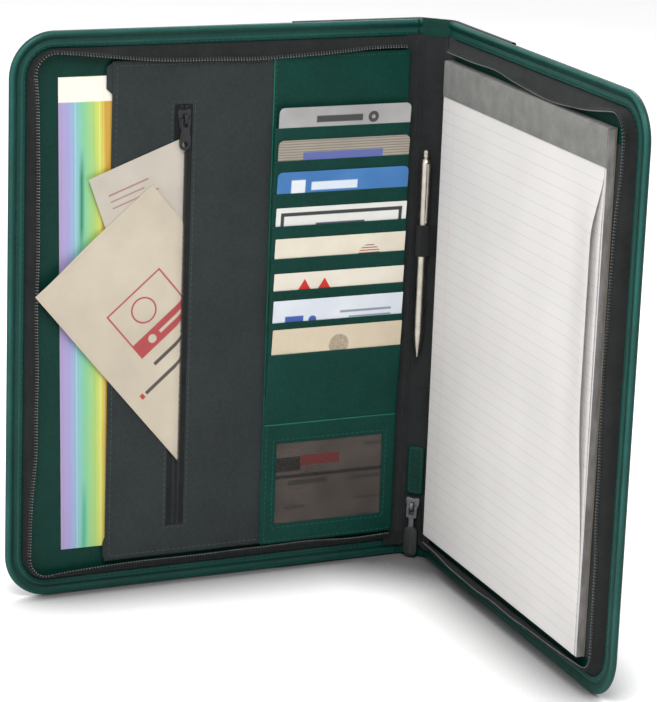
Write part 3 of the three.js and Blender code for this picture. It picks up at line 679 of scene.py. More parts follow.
# Light grey painted on the main coil's tooth heads as a highlight. The dark plastic below paints shade
# on its bars.
COIL_HIGHLIGHT = plastic("zipper_teeth", (102, 106, 105), (132, 136, 134), specular=0.3)
GREEN_THREAD = woven("green_thread", (8, 60, 52), (16, 78, 69), pitch=0.3)
DARK_THREAD = woven("dark_thread", (48, 55, 55), (68, 77, 77), pitch=0.3)
SILVER = metal("pen_silver", (180, 174, 162), (206, 200, 188), rough=(0.24, 0.36))
GREY_METAL = metal("grey_metal", (92, 96, 98), (120, 124, 126), rough=(0.32, 0.5))
DARK_METAL = plastic("dark_metal", (22, 24, 26), (36, 38, 40), rough=(0.25, 0.4))
RUBBER = plastic("black_rubber", (30, 32, 33), (44, 46, 47), rough=(0.4, 0.6))
# A much lighter green than the pockets, painted on thin edge beads as a highlight.
GREEN_EDGE_HIGHLIGHT = plastic("green_edge_painted_highlight", (22, 92, 76), (34, 112, 94), specular=0.25)
DARK_TEETH = plastic("dark_teeth", (26, 28, 29), (42, 44, 45), rough=(0.3, 0.5))


# Covers

RIM = (
    (26.0, -1.35), (14.0, -1.35), (7.0, -1.35), (4.2, -1.3), (2.6, -1.1), (1.4, -0.6), (0.75, 0.1),
    (0.5, 0.9), (0.65, 1.7), (1.2, 2.45), (2.1, 2.95), (3.1, 3.1), (4.1, 2.85), (4.9, 2.4), (5.5, 2.2),
    (6.1, 2.35), (6.9, 2.7), (8.0, 2.85), (9.2, 2.8), (10.0, 2.55), (10.5, 2.1), (10.6, 1.6),
)


def cover_skin(side, prefix):
    form = Form()
    stations = edge_stations(0.0)
    rings = sweep(form, side, stations, lambda run: RIM)
    form.face([ring[0] for ring in rings])
    line = edge_line(9.1, 3.0)
    stitches(form, PLACES[side], line, 2.95)
    form.make(
        f"{prefix}_cover_skin", f"{prefix}_cover", [GREEN_RIM, GREEN_THREAD],
        [f"{prefix}_outer_skin", f"{prefix}_board"],
    )


def cover_lining(side, prefix):
    form = Form()
    section = ((10.6, 2.2), (12.5, 2.35), (16.0, 2.4), (21.0, 2.4), (26.0, 2.4))
    rings = sweep(form, side, edge_stations(0.0), lambda run: section)
    form.face([ring[-1] for ring in rings])
    form.make(f"{prefix}_cover_lining", f"{prefix}_cover", [GREEN], [f"{prefix}_lining"])


def hump(run, start, end, height):
    """A smooth swell between two places on a run."""
    if not start < run < end:
        return 0.0
    return height * math.sin(math.pi * (run - start) / (end - start)) ** 2


TAPE_SWELLS = {
    FRONT: ((185.0, 335.0, -3.8), (505.0, 640.0, -4.6), (600.0, 800.0, 3.4), (20.0, 180.0, 0.8)),
    BACK: ((-120.0, 300.0, -4.2), (522.0, 630.0, -5.0), (590.0, 745.0, 3.8), (290.0, 545.0, 2.0)),
}
TAPE_RISES = {FRONT: (), BACK: ((270.0, 575.0, 1.7),)}


def zipper(side, prefix):
    ripple = wave(31 + side, 0.55, 96.0)
    lift = wave(57 + side, 0.5, 74.0)
    stations = edge_stations(TAPE_START, pitch=3.0)

    def shape(run):
        lean = ripple(run) + sum(hump(run, *swell) for swell in TAPE_SWELLS[side])
        rise = lift(run) - min(0.0, lean) * 0.35
        rise += sum(hump(run, *swell) for swell in TAPE_RISES[side])
        face = [
            (10.55, 1.95), (11.1, 2.75), (12.0, 4.1 + rise * 0.2), (13.1, 5.5 + rise * 0.5),
            (14.4 + lean * 0.6, 6.8 + rise * 0.8), (15.8 + lean, 7.7 + rise), (16.6 + lean, 8.0 + rise),
        ]
        under = [(inset + 0.35, level - 0.4) for inset, level in reversed(face)]
        return face + under

    form = Form()
    sweep(form, side, stations, shape, closed=True)
    form.make(f"{prefix}_tape", f"{prefix}_cover", [TAPE_CLOTH], [f"{prefix}_zipper_tape"], sharp=60)
    teeth = Form()
    total = stations[-1][2]
    place = PLACES[side]
    runs = [station[2] for station in stations]
    spot = 0
    run = 1.0
    while run < total - 1.0:
        while runs[spot + 1] < run:
            spot += 1
        share = (run - runs[spot]) / (runs[spot + 1] - runs[spot])
        tip = shape(run)[6]
        root = shape(run)[5]
        inner = [inset_place(stations[spot + k], tip[0] + 0.15) for k in (0, 1)]
        outer = [inset_place(stations[spot + k], root[0] - 0.5) for k in (0, 1)]
        a = [inner[0][k] * (1 - share) + inner[1][k] * share for k in (0, 1)]
        b = [outer[0][k] * (1 - share) + outer[1][k] * share for k in (0, 1)]
        head = place(a[0], a[1], tip[1] + 0.35)
        foot = place(b[0], b[1], root[1] + 0.15)
        out = place(a[0], a[1], tip[1] + 1.35) - head
        # The coil is drawn in two tones of one plastic: dark bars as painted shade between the teeth,
        # light heads as a painted highlight.
        bead(teeth, (head + foot) / 2, head - foot, out, 2.3, 0.8, 0.7, slot=1)
        bead(teeth, head, (head - foot).cross(out), out, 0.75, 0.7, 0.8)
        inside = math.hypot(inner[1][0] - inner[0][0], inner[1][1] - inner[0][1])
        run += TOOTH_PITCH * (runs[spot + 1] - runs[spot]) / max(inside, 0.1)
    teeth.make(f"{prefix}_teeth", f"{prefix}_cover", [COIL_HIGHLIGHT, DARK_TEETH], [f"{prefix}_zipper_coil"])


# Fold between the spine and each cover


FOLD_HANDLE = 1.6


def fold_path(side, spine_level, cover_level, reach):
    """Points (x, y) from the middle of the spine over the fold to reach on the cover."""
    start = Vector((side * SPINE_FLAT, -spine_level))
    end = cover(side, 2.0, 0.0, cover_level).xy
    out = (cover(side, 3.0, 0.0, cover_level) - cover(side, 2.0, 0.0, cover_level)).xy
    first = start + Vector((side * FOLD_HANDLE, 0.0))
    second = end - out * FOLD_HANDLE
    path = [Vector((x, -spine_level)) for x in steps(0.0, side * SPINE_FLAT, 1.9)[:-1]]
    for k in range(11):
        t = k / 10
        path.append(
            start * (1 - t) ** 3
            + first * (3 * t * (1 - t) ** 2)
            + second * (3 * t * t * (1 - t))
            + end * t ** 3
        )
    path += [cover(side, u, 0.0, cover_level).xy for u in steps(2.0, reach, 3.0)[1:]]
    return path


def hinge_blend(piece):
    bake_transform(piece)


def run_lengths(path):
    lengths, total = [0.0], 0.0
    for p, q in zip(path, path[1:]):
        total += (q - p).length
        lengths.append(total)
    return lengths


def creased(path, side, creases):
    """Moves a path off its line: creases are (run, height, half width)."""
    moved = []
    for k, (point, run) in enumerate(zip(path, run_lengths(path))):
        before, after = neighbours(path, k)
        way = (after - before).normalized()
        out = Vector((way.y, -way.x)) * side
        rise = sum(h * math.exp(-(((run - middle) / half) ** 2)) for middle, h, half in creases)
        moved.append(point + out * rise)
    return moved


def fold_sheet(form, side, section, reach, creases=lambda height: (), way=1):
    """A surface over the fold from a section of (height, spine level, cover level)."""
    rows, flats = [], []
    for height, low, high in section:
        path = fold_path(side, low, high, reach)
        rows.append([Vector((p.x, p.y, height)) for p in creased(path, side, creases(height))])
        flats.append([(way * run, height) for run in run_lengths(path)])
    form.rows(rows, flats)
    return flats


def wrap_section():
    rim = ((0.35, 0.55), (0.05, 0.1), (0.02, -0.9), (0.25, -1.8), (0.9, -2.25), (2.0, WRAP_BACK))
    low = [(h, n, n) for h, n in rim]
    middle = [(h, WRAP_BACK, WRAP_BACK) for h in steps(12.0, COVER_HEIGHT - 12.0, 12.0)]
    high = [(COVER_HEIGHT - h, n, n) for h, n in reversed(rim)]
    return low + middle + high


def outer_wrap(side, prefix):
    form = Form()
    fold_sheet(form, side, wrap_section(), WRAP_WIDTH)
    for u in (WRAP_WIDTH - 2.0, 4.0):
        line = [(u, 3.0), (u, COVER_HEIGHT - 3.0)]
        stitches(form, PLACES[side], line, WRAP_BACK - 0.05)
    replaced = [f"{prefix}_wrap_panel"]
    if side == FRONT:
        replaced += ["spine_wrap_panel", "spine_board"]
    piece = form.make(f"{prefix}_outer_wrap", None, [BLACK, DARK_THREAD], replaced)
    hinge_blend(piece)


def spine_band(side, prefix):
    """The green edge that runs on across the spine, at the top and at the bottom."""
    rim = ((0.5, 0.4), (0.62, 0.62), (1.2, 0.85), (2.1, 1.0), (3.1, 1.05), (4.1, 0.95))
    rim += ((4.9, 0.8), (5.5, 0.72), (6.1, 0.8), (6.9, 0.95), (8.0, 1.02), (9.2, 1.0))
    rim += ((10.0, 0.9), (10.5, 0.7))
    form = Form()
    for flip in (False, True):
        section = []
        for inset, share in rim:
            height = COVER_HEIGHT - inset if flip else inset
            section.append((height, SPINE_FACE + 0.45 * share, 2.95 * share + 0.08))
        fold_sheet(form, side, section, 3.2, lambda height: ((6.6, -0.5, 0.5), (9.6, -0.8, 0.6)))
    piece = form.make(f"{prefix}_spine_band", None, [GREEN])
    hinge_blend(piece)


def spine_lining(side, prefix):
    """Black cloth in the spine's hollow, with the soft folds that open over the hinge."""
    form = Form()
    heights = steps(SPINE_BAND, COVER_HEIGHT - SPINE_BAND, 6.0)
    drift = wave(81 + side, 0.5, 88.0)

    def folds(height):
        return (8.4 + drift(height), 0.8, 0.55), (11.2 + drift(height), 0.65, 0.5)

    section = [(height, SPINE_FACE + 0.1, 2.75) for height in heights]
    flats = fold_sheet(form, side, section, 11.0, folds, way=side)
    replaced = ["spine_lining"] if side == FRONT else []
    piece = form.make(f"{prefix}_spine_cloth", None, [LINING_CLOTH], replaced, sharp=80)
    hinge_blend(piece)


# Front cover: papers and pocket

BROCHURE_PRINT = (
    (0.0, (170, 150, 190)), (6.0, (160, 155, 205)), (10.0, (135, 185, 200)), (15.0, (125, 195, 150)),
    (21.0, (165, 200, 115)), (25.0, (210, 210, 90)), (28.5, (200, 150, 50)), (36.0, (205, 180, 95)),
)


def brochure_look():
    look = Look("brochure_print", specular=0.4, coat=0.15)
    stops = [(where / 60.0, colour) for where, colour in BROCHURE_PRINT]
    sway = look.times(look.math("SUBTRACT", look.noise(60.0, 2.0), 0.5), 3.0)
    across = look.math("ADD", look.a, sway)
    colour = look.ramp(look.math("DIVIDE", across, 60.0), stops)
    streak = look.times(look.band(across, 12.6, 14.6, 1.0), look.band(look.b, 185.0, 232.0, 9.0))
    colour = look.mix(streak, colour, (20, 120, 92))
    low_streak = look.times(look.band(across, 13.0, 15.5, 1.0), look.band(look.b, -5.0, 34.0, 9.0))
    colour = look.mix(look.times(low_streak, 0.7), colour, (40, 160, 132))
    for line in (10.0, 24.5, 27.0):
        gleam = look.band(look.a, line, line + 0.25, 0.2)
        colour = look.mix(look.times(gleam, 0.45), colour, (236, 240, 220))
    cream = look.range(look.b, 266.2, 266.9)
    colour = look.mix(cream, colour, (243, 238, 224))
    edges = look.band(look.math("MODULO", look.a, 5.4), 0.0, 0.2, 0.12)
    colour = look.mix(look.times(edges, 0.22), colour, (120, 126, 130))
    look.bump(look.noise(2.0), 0.02)
    return look.finish(colour, look.noise(6.0), 0.3, 0.42)


def brochure():
    left, right, low, high = BROCHURE_BOX
    form = Form()
    pages = ((0.0, 0.0, 3.0), (1.6, 0.7, 3.2), (8.8, 0.3, 3.38), (21.0, 1.2, 3.55))

    def askew(a, b, n):
        return front(a - (high - b) / (high - low) * 5.5 * smooth((a - 90) / 90), b, n)

    bow = wave(5, 0.25, 70.0)
    for step, drop, level in pages:
        plate(
            form, askew, steps(left, right - step, 9.0), steps(low, high - drop, 12.0),
            lambda a, b: level - 0.15 + bow(a + b * 0.4) * 0.3, 0.16,
            flat=lambda a, b: (right - a, b - low),
        )
    form.make("brochure_pages", "front_cover", [brochure_look()], ["brochure"])


def pocket_ripple(u, v):
    edge = smooth((u - 160.0) / 37.0)
    return POCKET_WAVE(v) * edge * 0.9 + POCKET_SAG(u + v * 0.3) * 0.25


POCKET_WAVE = wave(17, 0.6, 120.0)
POCKET_SAG = wave(23, 0.5, 64.0)


def pocket_level(u, v):
    low, high = POCKET_INSET + 0.3, COVER_HEIGHT - POCKET_INSET - 0.3
    drop = roll(min(POCKET_EDGE - u, v - low, high - v), 1.4, 0.3)
    slit = min(abs(abs(u - SLOT_MIDDLE) - SLOT_WIDTH / 2), 9.0)
    if SLOT_FOOT - 1 < v < SLOT_TOP + 1:
        drop += roll(slit, 1.0, 0.15)
    return POCKET_FACE + 0.05 + pocket_ripple(u, v) * 0.5 - drop


def zip_pocket():
    low, high = POCKET_INSET + 0.3, COVER_HEIGHT - POCKET_INSET - 0.3
    half = SLOT_WIDTH / 2
    inner, outer = SLOT_MIDDLE - half, SLOT_MIDDLE + half
    across = steps(POCKET_START + 0.2, inner - 1.2, 7.0) + [inner - 0.5, inner]
    across += [outer, outer + 0.5, outer + 1.2] + edged(outer + 2.0, POCKET_EDGE, 5.0)[3:]
    up = edged(low, SLOT_FOOT, 6.0)[:-3] + [SLOT_FOOT]
    up += steps(SLOT_FOOT + 2.0, SLOT_TOP - 2.0, 7.0)
    up += [SLOT_TOP] + edged(SLOT_TOP, high, 6.0)[4:]

    def hole(a, b):
        return inner < a < outer and SLOT_FOOT < b < SLOT_TOP

    form = Form()
    plate(form, front, across, up, pocket_level, 0.4, hole=hole)
    rim = 1.6

    def face(a, b):
        return pocket_level(a, b) + 0.04

    stitches(form, front, frame_line(inner - rim, outer + rim, SLOT_FOOT - rim, SLOT_TOP + rim), face)
    hem = POCKET_EDGE - 2.6
    for line in (
        [(hem, low + 3), (hem, high - 3)], [(hem, high - 3.0), (COLUMN_EDGE + 1, high - 3.0)],
        [(hem, low + 3.0), (COLUMN_EDGE + 1, low + 3.0)],
    ):
        stitches(form, front, line, face)
    form.make(
        "zip_pocket_panel", "front_cover", [CHARCOAL, DARK_THREAD], ["zip_pocket_front"], sharp=50
    )
    behind = Form()
    plate(
        behind, front, steps(POCKET_START + 0.2, POCKET_EDGE - 0.5, 20.0), steps(low, high, 20.0),
        lambda a, b: 3.95, 0.25,
    )
    gusset(behind, low, high)
    behind.make("zip_pocket_lining", "front_cover", [CHARCOAL], ["zip_pocket_back"])


def gusset(form, low, high):
    """The pleat that joins the pocket's free edge to the lining."""
    for foot, head, reach in ((high - 19.0, high - 0.6, 3.4), (low + 0.6, low + 14.0, 1.2)):
        rows = []
        for v in steps(foot, head, 1.5):
            out = reach * smooth(min(v - foot, head - v) / 3.0)
            edge = ((-1.5, 5.05), (out * 0.5, 4.9), (out, 4.3), (out * 0.8, 3.75), (-1.5, 3.7))
            rows.append([front(POCKET_EDGE + step, v, n) for step, n in edge])
        form.rows(rows)


def pocket_zip():
    half = SLOT_WIDTH / 2
    for name, way in (("outer", 1), ("inner", -1)):
        edge = SLOT_MIDDLE + way * (half + 1.0)
        near = SLOT_MIDDLE + (1.6 if way > 0 else -1.9)
        form = Form()
        level = 4.95 if way > 0 else 5.45

        def face(a, b):
            return level - 0.12 - 0.3 * smooth((abs(a - SLOT_MIDDLE) - 4.0) / 1.5)

        plate(
            form, front, steps(min(edge, near), max(edge, near), 1.2),
            steps(SLOT_FOOT - 0.6, SLOT_TOP + 0.6, 8.0), face, 0.3,
        )
        for v in steps(SLOT_FOOT + 1.0, SLOT_TOP - 1.0, POCKET_TOOTH_PITCH):
            middle = front(near - way * 0.2, v, level)
            along = front(near + 1.0, v, level) - middle
            out = front(near, v, level + 1) - middle
            bead(form, middle, along, out, 2.0, 0.85, 0.8, slot=1)
        form.make(
            f"pocket_zip_{name}", "front_cover", [TAPE_CLOTH, DARK_TEETH], [f"pocket_zip_{name}_tape"]
        )


def paper_level(u, low, lifted):
    """A paper's level as it rises out of the slot."""
    return low + (lifted - low) * smooth((u - (SLOT_MIDDLE - 1.4)) / 2.6)


def turned_paper(corner, turn, size, levels, thick, name, looks, curl, start=(0.0, 0.0)):
    """A sheet that comes out of the open zip, set by its outer top corner and its turn."""
    to_spine = (-math.cos(turn), math.sin(turn))
    to_foot = (-math.sin(turn), -math.cos(turn))

    def spot(a, b):
        u = corner[0] + to_spine[0] * a + to_foot[0] * b
        v = corner[1] + to_spine[1] * a + to_foot[1] * b
        return u, v

    def place(a, b, n):
        return front(*spot(a, b), n)

    def top(a, b):
        return levels(*spot(a, b)) + thick + curl(a, b)

    form = Form()
    across = steps(start[0], start[0] + size[0], 2.0)
    plate(form, place, across, steps(start[1], start[1] + size[1], 3.0), top, thick)
    return form.make(name, "front_cover", looks, [name.rsplit("_", 1)[0]])


def bars(lines):
    """Masks for rows of plain bars that stand for writing."""

    def mask(look):
        total = None
        for left, right, middle, half in lines:
            one = look.box(left, right, middle - half, middle + half, 0.25)
            total = one if total is None else look.most(total, one)
        return total

    return mask


def papers():
    letter_look = paper(
        "letter_paper", (196, 188, 176), (182, 174, 164),
        marks=[(bars([(8, 34, 14, 0.5), (8, 30, 18, 0.4), (8, 38, 22, 0.4)]), (160, 120, 112))],
    )
    envelope_look = paper(
        "envelope_paper", (204, 193, 174), (190, 180, 162),
        marks=[
            (emblem, (170, 76, 78)),
            (bars([(27, 78, 84, 1.1), (12, 78, 94, 1.1)]), (84, 78, 74)),
            (bars([(8, 10.5, 94, 1.6)]), (178, 70, 66)),
        ],
    )
    turned_paper(
        LETTER_CORNER, LETTER_TURN, LETTER_SIZE, lambda u, v: paper_level(u, 4.05, 5.65 + 0.15), 0.2,
        "letter_sheet", [letter_look], lambda a, b: 0.5 * math.exp(-((a / 14) ** 2 + (b / 14) ** 2)),
    )

    def lift(u, v):
        base = paper_level(u, 4.45, 6.2)
        return base + (9.3 - 6.2) * smooth((u - 205.0) / 32.5)

    turned_paper(
        ENVELOPE_CORNER, ENVELOPE_TURN, ENVELOPE_SIZE, lift, 0.35, "envelope_sheet",
        [envelope_look], lambda a, b: 0.0,
    )
    flap = (1.2, 2.0)
    turned_paper(
        ENVELOPE_CORNER, ENVELOPE_TURN, (ENVELOPE_SIZE[0] - flap[0], ENVELOPE_SIZE[1] - flap[1]),
        lambda u, v: lift(u, v) + 0.4, 0.12, "envelope_face",
        [envelope_look], lambda a, b: 0.0, start=flap,
    )


def emblem(look):
    """A plain box outline, filled at its foot, with a ring above."""
    outer = look.box(23.5, 66, 41, 76, 0.25)
    inner = look.box(24.5, 65, 42, 66, 0.25)
    square = look.less(outer, inner)
    ring = look.less(look.disc(43, 54, 8.0), look.disc(43, 54, 7.0))
    cut = look.most(look.disc(36, 71, 2.6), look.box(42, 60, 70, 72, 0.25))
    return look.most(look.less(square, cut), ring)


# Front cover: cards


def leaning(middle, seat):
    """Places on a card or strip that leans in its slot."""
    lean, rise = math.sin(STRIP_TILT), math.cos(STRIP_TILT)

    def place(a, b, level):
        return front(middle + a, seat + b * rise - level * lean, CARD_SEAT + b * lean + level * rise)

    return place


def field(*sides):
    """A mask maker for one plain field."""
    return lambda look: look.box(*sides)


def fine_lines(look):
    return look.band(look.math("MODULO", look.b, 1.6), 0.2, 0.8, 0.15)


def bar_and_ring(look):
    shape = look.most(look.box(24, 54, 44.6, 48.6), look.disc(61, 46.6, 3.4))
    return look.less(shape, look.disc(61, 46.6, 1.2))


def card_border(look):
    return look.less(look.box(3, 82.6, 3, 51, 0.2), look.box(5.2, 80.4, 5.2, 48.8, 0.2))


def burst(look):
    return look.times(look.disc(62, 40, 7.5), fine_lines(look))


def triangles(look):
    total = None
    for middle in (20.0, 33.0):
        gap = look.math("ABSOLUTE", look.math("SUBTRACT", look.a, middle))
        slope = look.math("ADD", gap, look.times(look.b, 0.62))
        sides = look.range(slope, 30.8, 31.1, 1.0, 0.0)
        one = look.times(sides, look.range(look.b, 41.3, 41.6))
        total = look.most(total, one) if total else one
    return total


def blue_mark(look):
    return look.most(look.box(8, 20, 39, 44), look.disc(26, 41, 2.6))


def grey_words(look):
    return look.most(look.box(44, 78, 44, 45.4), look.box(50, 78, 40.6, 41.6))


def sketch(look):
    return look.times(look.disc(44, 42, 6.5), look.noise(1.2, 4.0))


# Each card's two paper colours and its marks. The first three are plastic.
CARDS = (
    ((178, 177, 176), (156, 155, 155), [(bar_and_ring, (66, 66, 68))]),
    ((170, 162, 150), (154, 146, 134),
     [(fine_lines, (126, 118, 108)), (field(16, 68, 41.5, 46.5), (92, 104, 166))]),
    ((72, 128, 186), (56, 110, 172),
     [(field(9, 18, 40.5, 49), (226, 230, 234)), (field(22, 52, 42.5, 47.5), (216, 226, 238))]),
    ((232, 232, 228), (218, 218, 214),
     [(card_border, (60, 62, 66)), (field(26, 58, 40.5, 44.0), (84, 90, 104))]),
    ((232, 224, 206), (218, 210, 192), [(burst, (150, 56, 52))]),
    ((232, 226, 212), (220, 212, 196), [(triangles, (200, 48, 44))]),
    ((226, 230, 236), (210, 216, 226), [(blue_mark, (66, 92, 168)), (grey_words, (136, 144, 156))]),
    ((218, 204, 180), (204, 190, 166), [(sketch, (110, 90, 72))]),
)
PLASTIC_CARDS = 3
CARD_ROUGHNESS = ((0.28, 0.4), (0.28, 0.4), (0.26, 0.36))


def card_look(index):
    base, shade, marks = CARDS[index]
    smooth_face = index < PLASTIC_CARDS
    specular = 0.4 if smooth_face else 0.3
    rough = CARD_ROUGHNESS[index] if smooth_face else (0.5, 0.65)
    return paper(f"card_{index + 1}_print", base, shade, specular, rough, marks)


def card_column():
    middle = (POCKET_START + COLUMN_EDGE) / 2
    half = (COLUMN_EDGE - POCKET_START) / 2
    card_middle = POCKET_START + 0.3 + CARD_WIDTH / 2
    low, high = POCKET_INSET + 0.1, COVER_HEIGHT - POCKET_INSET - 0.1
    base = Form()

    def base_level(a, b):
        drop = roll(min(a - POCKET_START, COLUMN_EDGE - a, b - low, high - b), 1.2, 0.15)
        return 5.97 - drop

    plate(base, front, edged(POCKET_START, COLUMN_EDGE, 8.0), edged(low, high, 8.0), base_level, 0.3)
    hem = COLUMN_EDGE - 1.6
    stitches(base, front, [(hem, low + 2), (hem, high - 2), (POCKET_START + 2, high - 2)], 6.0)
    # A thin bead along the column's edge, painted lighter green as a highlight.
    rim = [COLUMN_EDGE - 0.6, COLUMN_EDGE + 0.1]
    plate(base, front, rim, steps(low + 1, high - 1, 8.0), lambda a, b: 6.06, 0.4, slot=2)
    base.make("card_base", "front_cover", [GREEN_STRIP, GREEN_THREAD, GREEN_EDGE_HIGHLIGHT], ["card_base_panel"])
    for index, show in enumerate(CARD_SHOWS):
        seat = TOP_STRIP - index * STRIP_PITCH - STRIP_HEIGHT
        plastic_card = index < PLASTIC_CARDS
        thick = PLASTIC_THICKNESS if plastic_card else PAPER_THICKNESS
        radius = PLASTIC_CORNER if plastic_card else PAPER_CORNER
        place = leaning(card_middle, seat)
        foot = STRIP_HEIGHT + show - CARD_HEIGHT
        card = Form()
        outline = rounded(CARD_WIDTH, CARD_HEIGHT, radius, 6, (0.0, foot + CARD_HEIGHT / 2))
        levels = ((0.12, 0.0), (0.0, 0.12), (0.0, thick - 0.12), (0.12, thick))
        slab(card, place, outline, levels, flat=lambda a, b: (CARD_WIDTH / 2 - a, b - foot))
        card.make(f"slot_card_{index + 1}", "front_cover", [card_look(index)], [f"card_{index + 1}"])
        strip = Form()
        sag = wave(140 + index, 0.12, 50.0)

        def level(a, b):
            drop = roll(STRIP_HEIGHT - b, 1.3, 0.4)
            side = roll(min(a + half, half - a), 3.0, 0.5)
            return 1.42 + sag(a) * smooth(b / STRIP_HEIGHT) - drop - side

        plate(
            strip, leaning(middle, seat), edged(-half, half, 6.0), edged(0.0, STRIP_HEIGHT, 7.0),
            level, 0.34,
        )
        strip.make(
            f"slot_strip_{index + 1}", "front_cover", [GREEN_STRIP, GREEN_THREAD],
            [f"card_slot_strip_{index + 1}"],
        )


def framed(start, low, high, end):
    """Steps over a frame, closer together at its edges and at its window's."""
    places = edged(start, low, 3.0)[:-3] + [low - 0.9, low - 0.4, low]
    places += steps(low, high, 8.0)[1:-1]
    places += [high, high + 0.4, high + 0.9] + edged(high, end, 3.0)[3:]
    return sorted(set(round(place, 4) for place in places))


def identity_pocket():
    left, right, low, high = ID_WINDOW
    edge_low, edge_high = POCKET_START, COLUMN_EDGE
    form = Form()

    def level(a, b):
        outer = min(a - edge_low, edge_high - a, b - ID_FOOT, ID_TOP - b)
        drop = roll(outer, 1.6, 0.35)
        window = max(left - a, a - right, low - b, b - high)
        return 7.95 - drop - roll(max(0.0, window), 0.9, 0.15)

    plate(
        form, front, framed(edge_low, left, right, edge_high), framed(ID_FOOT, low, high, ID_TOP),
        level, 0.42, hole=lambda a, b: left < a < right and low < b < high,
    )
    border = 2.2
    for line in (
        frame_line(left - border, right + border, low - border, high + border),
        [(edge_high - 1.8, ID_FOOT + 1.8), (edge_high - 1.8, ID_TOP - 1.8)],
        [(edge_low + 1.8, ID_FOOT + 1.8), (edge_high - 1.8, ID_FOOT + 1.8)],
    ):
        stitches(form, front, line, lambda a, b: level(a, b) + 0.04)
    # A thin bead along the pocket's top edge, painted lighter green as a highlight.
    rim = [ID_TOP - 0.55, ID_TOP + 0.05]
    plate(form, front, steps(edge_low + 1, edge_high, 8.0), rim, lambda a, b: 7.9, 0.4, slot=2)
    form.make("id_frame", "front_cover", [GREEN_STRIP, GREEN_THREAD, GREEN_EDGE_HIGHLIGHT], ["id_pocket_frame"])
    card_print()
    film()


def card_print():
    look = Look("id_card_print", specular=0.4)
    colour = look.mottled(16.0, (80, 72, 67), (60, 53, 50), detail=4.0)
    for left, right, low, high, tint in (
        (4, 24, 34, 43, (14, 13, 13)), (24, 50, 37, 43.5, (96, 26, 26)),
        (0, 86, 29.6, 31.8, (10, 9, 9)), (16, 42, 25, 28, (44, 40, 38)),
        (56, 78, 25, 27.4, (50, 46, 44)), (14, 28, 10, 12, (48, 44, 42)),
        (60, 78, 12, 14, (54, 50, 48)), (66, 80, 46, 48.5, (54, 50, 48)),
    ):
        colour = look.mix(look.box(left, right, low, high, 0.4), colour, tint)
    look.bump(look.noise(3.0), 0.01)
    material = look.finish(colour, look.noise(6.0), 0.3, 0.45)
    form = Form()
    left = (ID_WINDOW[0] + ID_WINDOW[1] - CARD_WIDTH) / 2
    foot = (ID_WINDOW[2] + ID_WINDOW[3] - CARD_HEIGHT) / 2
    middle = (left + CARD_WIDTH / 2, foot + CARD_HEIGHT / 2)
    slab(
        form, front, rounded(CARD_WIDTH, CARD_HEIGHT, PLASTIC_CORNER, 6, middle),
        ((0.12, 6.15), (0.0, 6.27), (0.0, 6.8), (0.12, 6.91)),
        flat=lambda a, b: (left + CARD_WIDTH - a, b - foot),
    )
    form.make("id_card_print", "front_cover", [material], ["id_card"])


def film():
    look = Look("window_film", specular=0.5)
    look.shader.inputs["Alpha"].default_value = 0.06
    scuffs = look.noise(4.0, 5.0, 0.65, stretch=(1.0, 1.0, 2.5))
    colour = look.mix(look.range(scuffs, 0.4, 0.6), (84, 79, 75), (112, 106, 101))
    look.bump(look.noise(18.0, 2.0), 0.2)
    material = look.finish(colour, scuffs, 0.12, 0.3)
    form = Form()
    left, right, low, high = ID_WINDOW
    bulge = wave(77, 0.12, 33.0)
    plate(
        form, front, steps(left - 3, right + 3, 4.0), steps(low - 3, high + 3, 4.0),
        lambda a, b: 7.25 + bulge(a + b) * 0.6, 0.15,
    )
    form.make("id_film", "front_cover", [material], ["id_window_film"])


# Sliders and pulls


def slider(name, place, middle, foot, top, face, width, body, look, replaced):
    """A slider with a shield-shaped plate and the bridge that holds its pull."""
    form = Form()
    height = top - foot
    outline = []
    half = width / 2
    shape = (
        (-0.62, -0.5), (-0.2, -0.5), (0.2, -0.5), (0.62, -0.5), (0.74, -0.4), (0.8, -0.1),
        (0.96, 0.22), (1.0, 0.38), (0.9, 0.48), (0.6, 0.5), (0.2, 0.46), (-0.2, 0.46),
        (-0.6, 0.5), (-0.9, 0.48), (-1.0, 0.38), (-0.96, 0.22), (-0.8, -0.1), (-0.74, -0.4),
    )
    count = len(shape)
    points = [(middle + x * half, (foot + top) / 2 + y * height) for x, y in shape]
    for k, point in enumerate(points):
        before, after = points[k - 1], points[(k + 1) % count]
        way = (after[1] - before[1], before[0] - after[0])
        size = math.hypot(*way)
        outline.append((point, (way[0] / size, way[1] / size)))
    levels = ((0.5, face - 1.2), (0.1, face - 0.9), (0.0, face - 0.5), (0.35, face - 0.1), (0.9, face))
    slab(form, place, outline, levels)
    centre = (foot + top) / 2
    rows = []
    for k in range(13):
        angle = math.pi * k / 12
        v = centre - math.cos(angle) * 3.2
        n = face - 0.3 + math.sin(angle) * 2.4
        way_v, way_n = (v - centre) / 3.2, (n - face) / 2.4
        corners = ((-0.9, 0.0), (-0.9, 0.35), (0.9, 0.35), (0.9, 0.0))
        rows.append([place(middle + a, v + way_v * out, n + way_n * out) for a, out in corners])
    form.rows(rows, closed=True, capped=True)
    form.make(name, body, [look], replaced)


def pocket_slider():
    slider(
        "pocket_slider_body", front, SLOT_MIDDLE, 276.5, 288.5, 7.2, 8.4, "pocket_slider",
        DARK_METAL, ["pocket_slider"],
    )
    axis_v, axis_n = POCKET_PULL_AXIS
    form = Form()
    ring_pull(form, lambda a, b, n: front(SLOT_MIDDLE + a, axis_v + b, axis_n + n), 6.8, 18.0, 1.7)
    form.make("pocket_pull_tongue", "pocket_pull", [DARK_METAL], ["pocket_pull"])


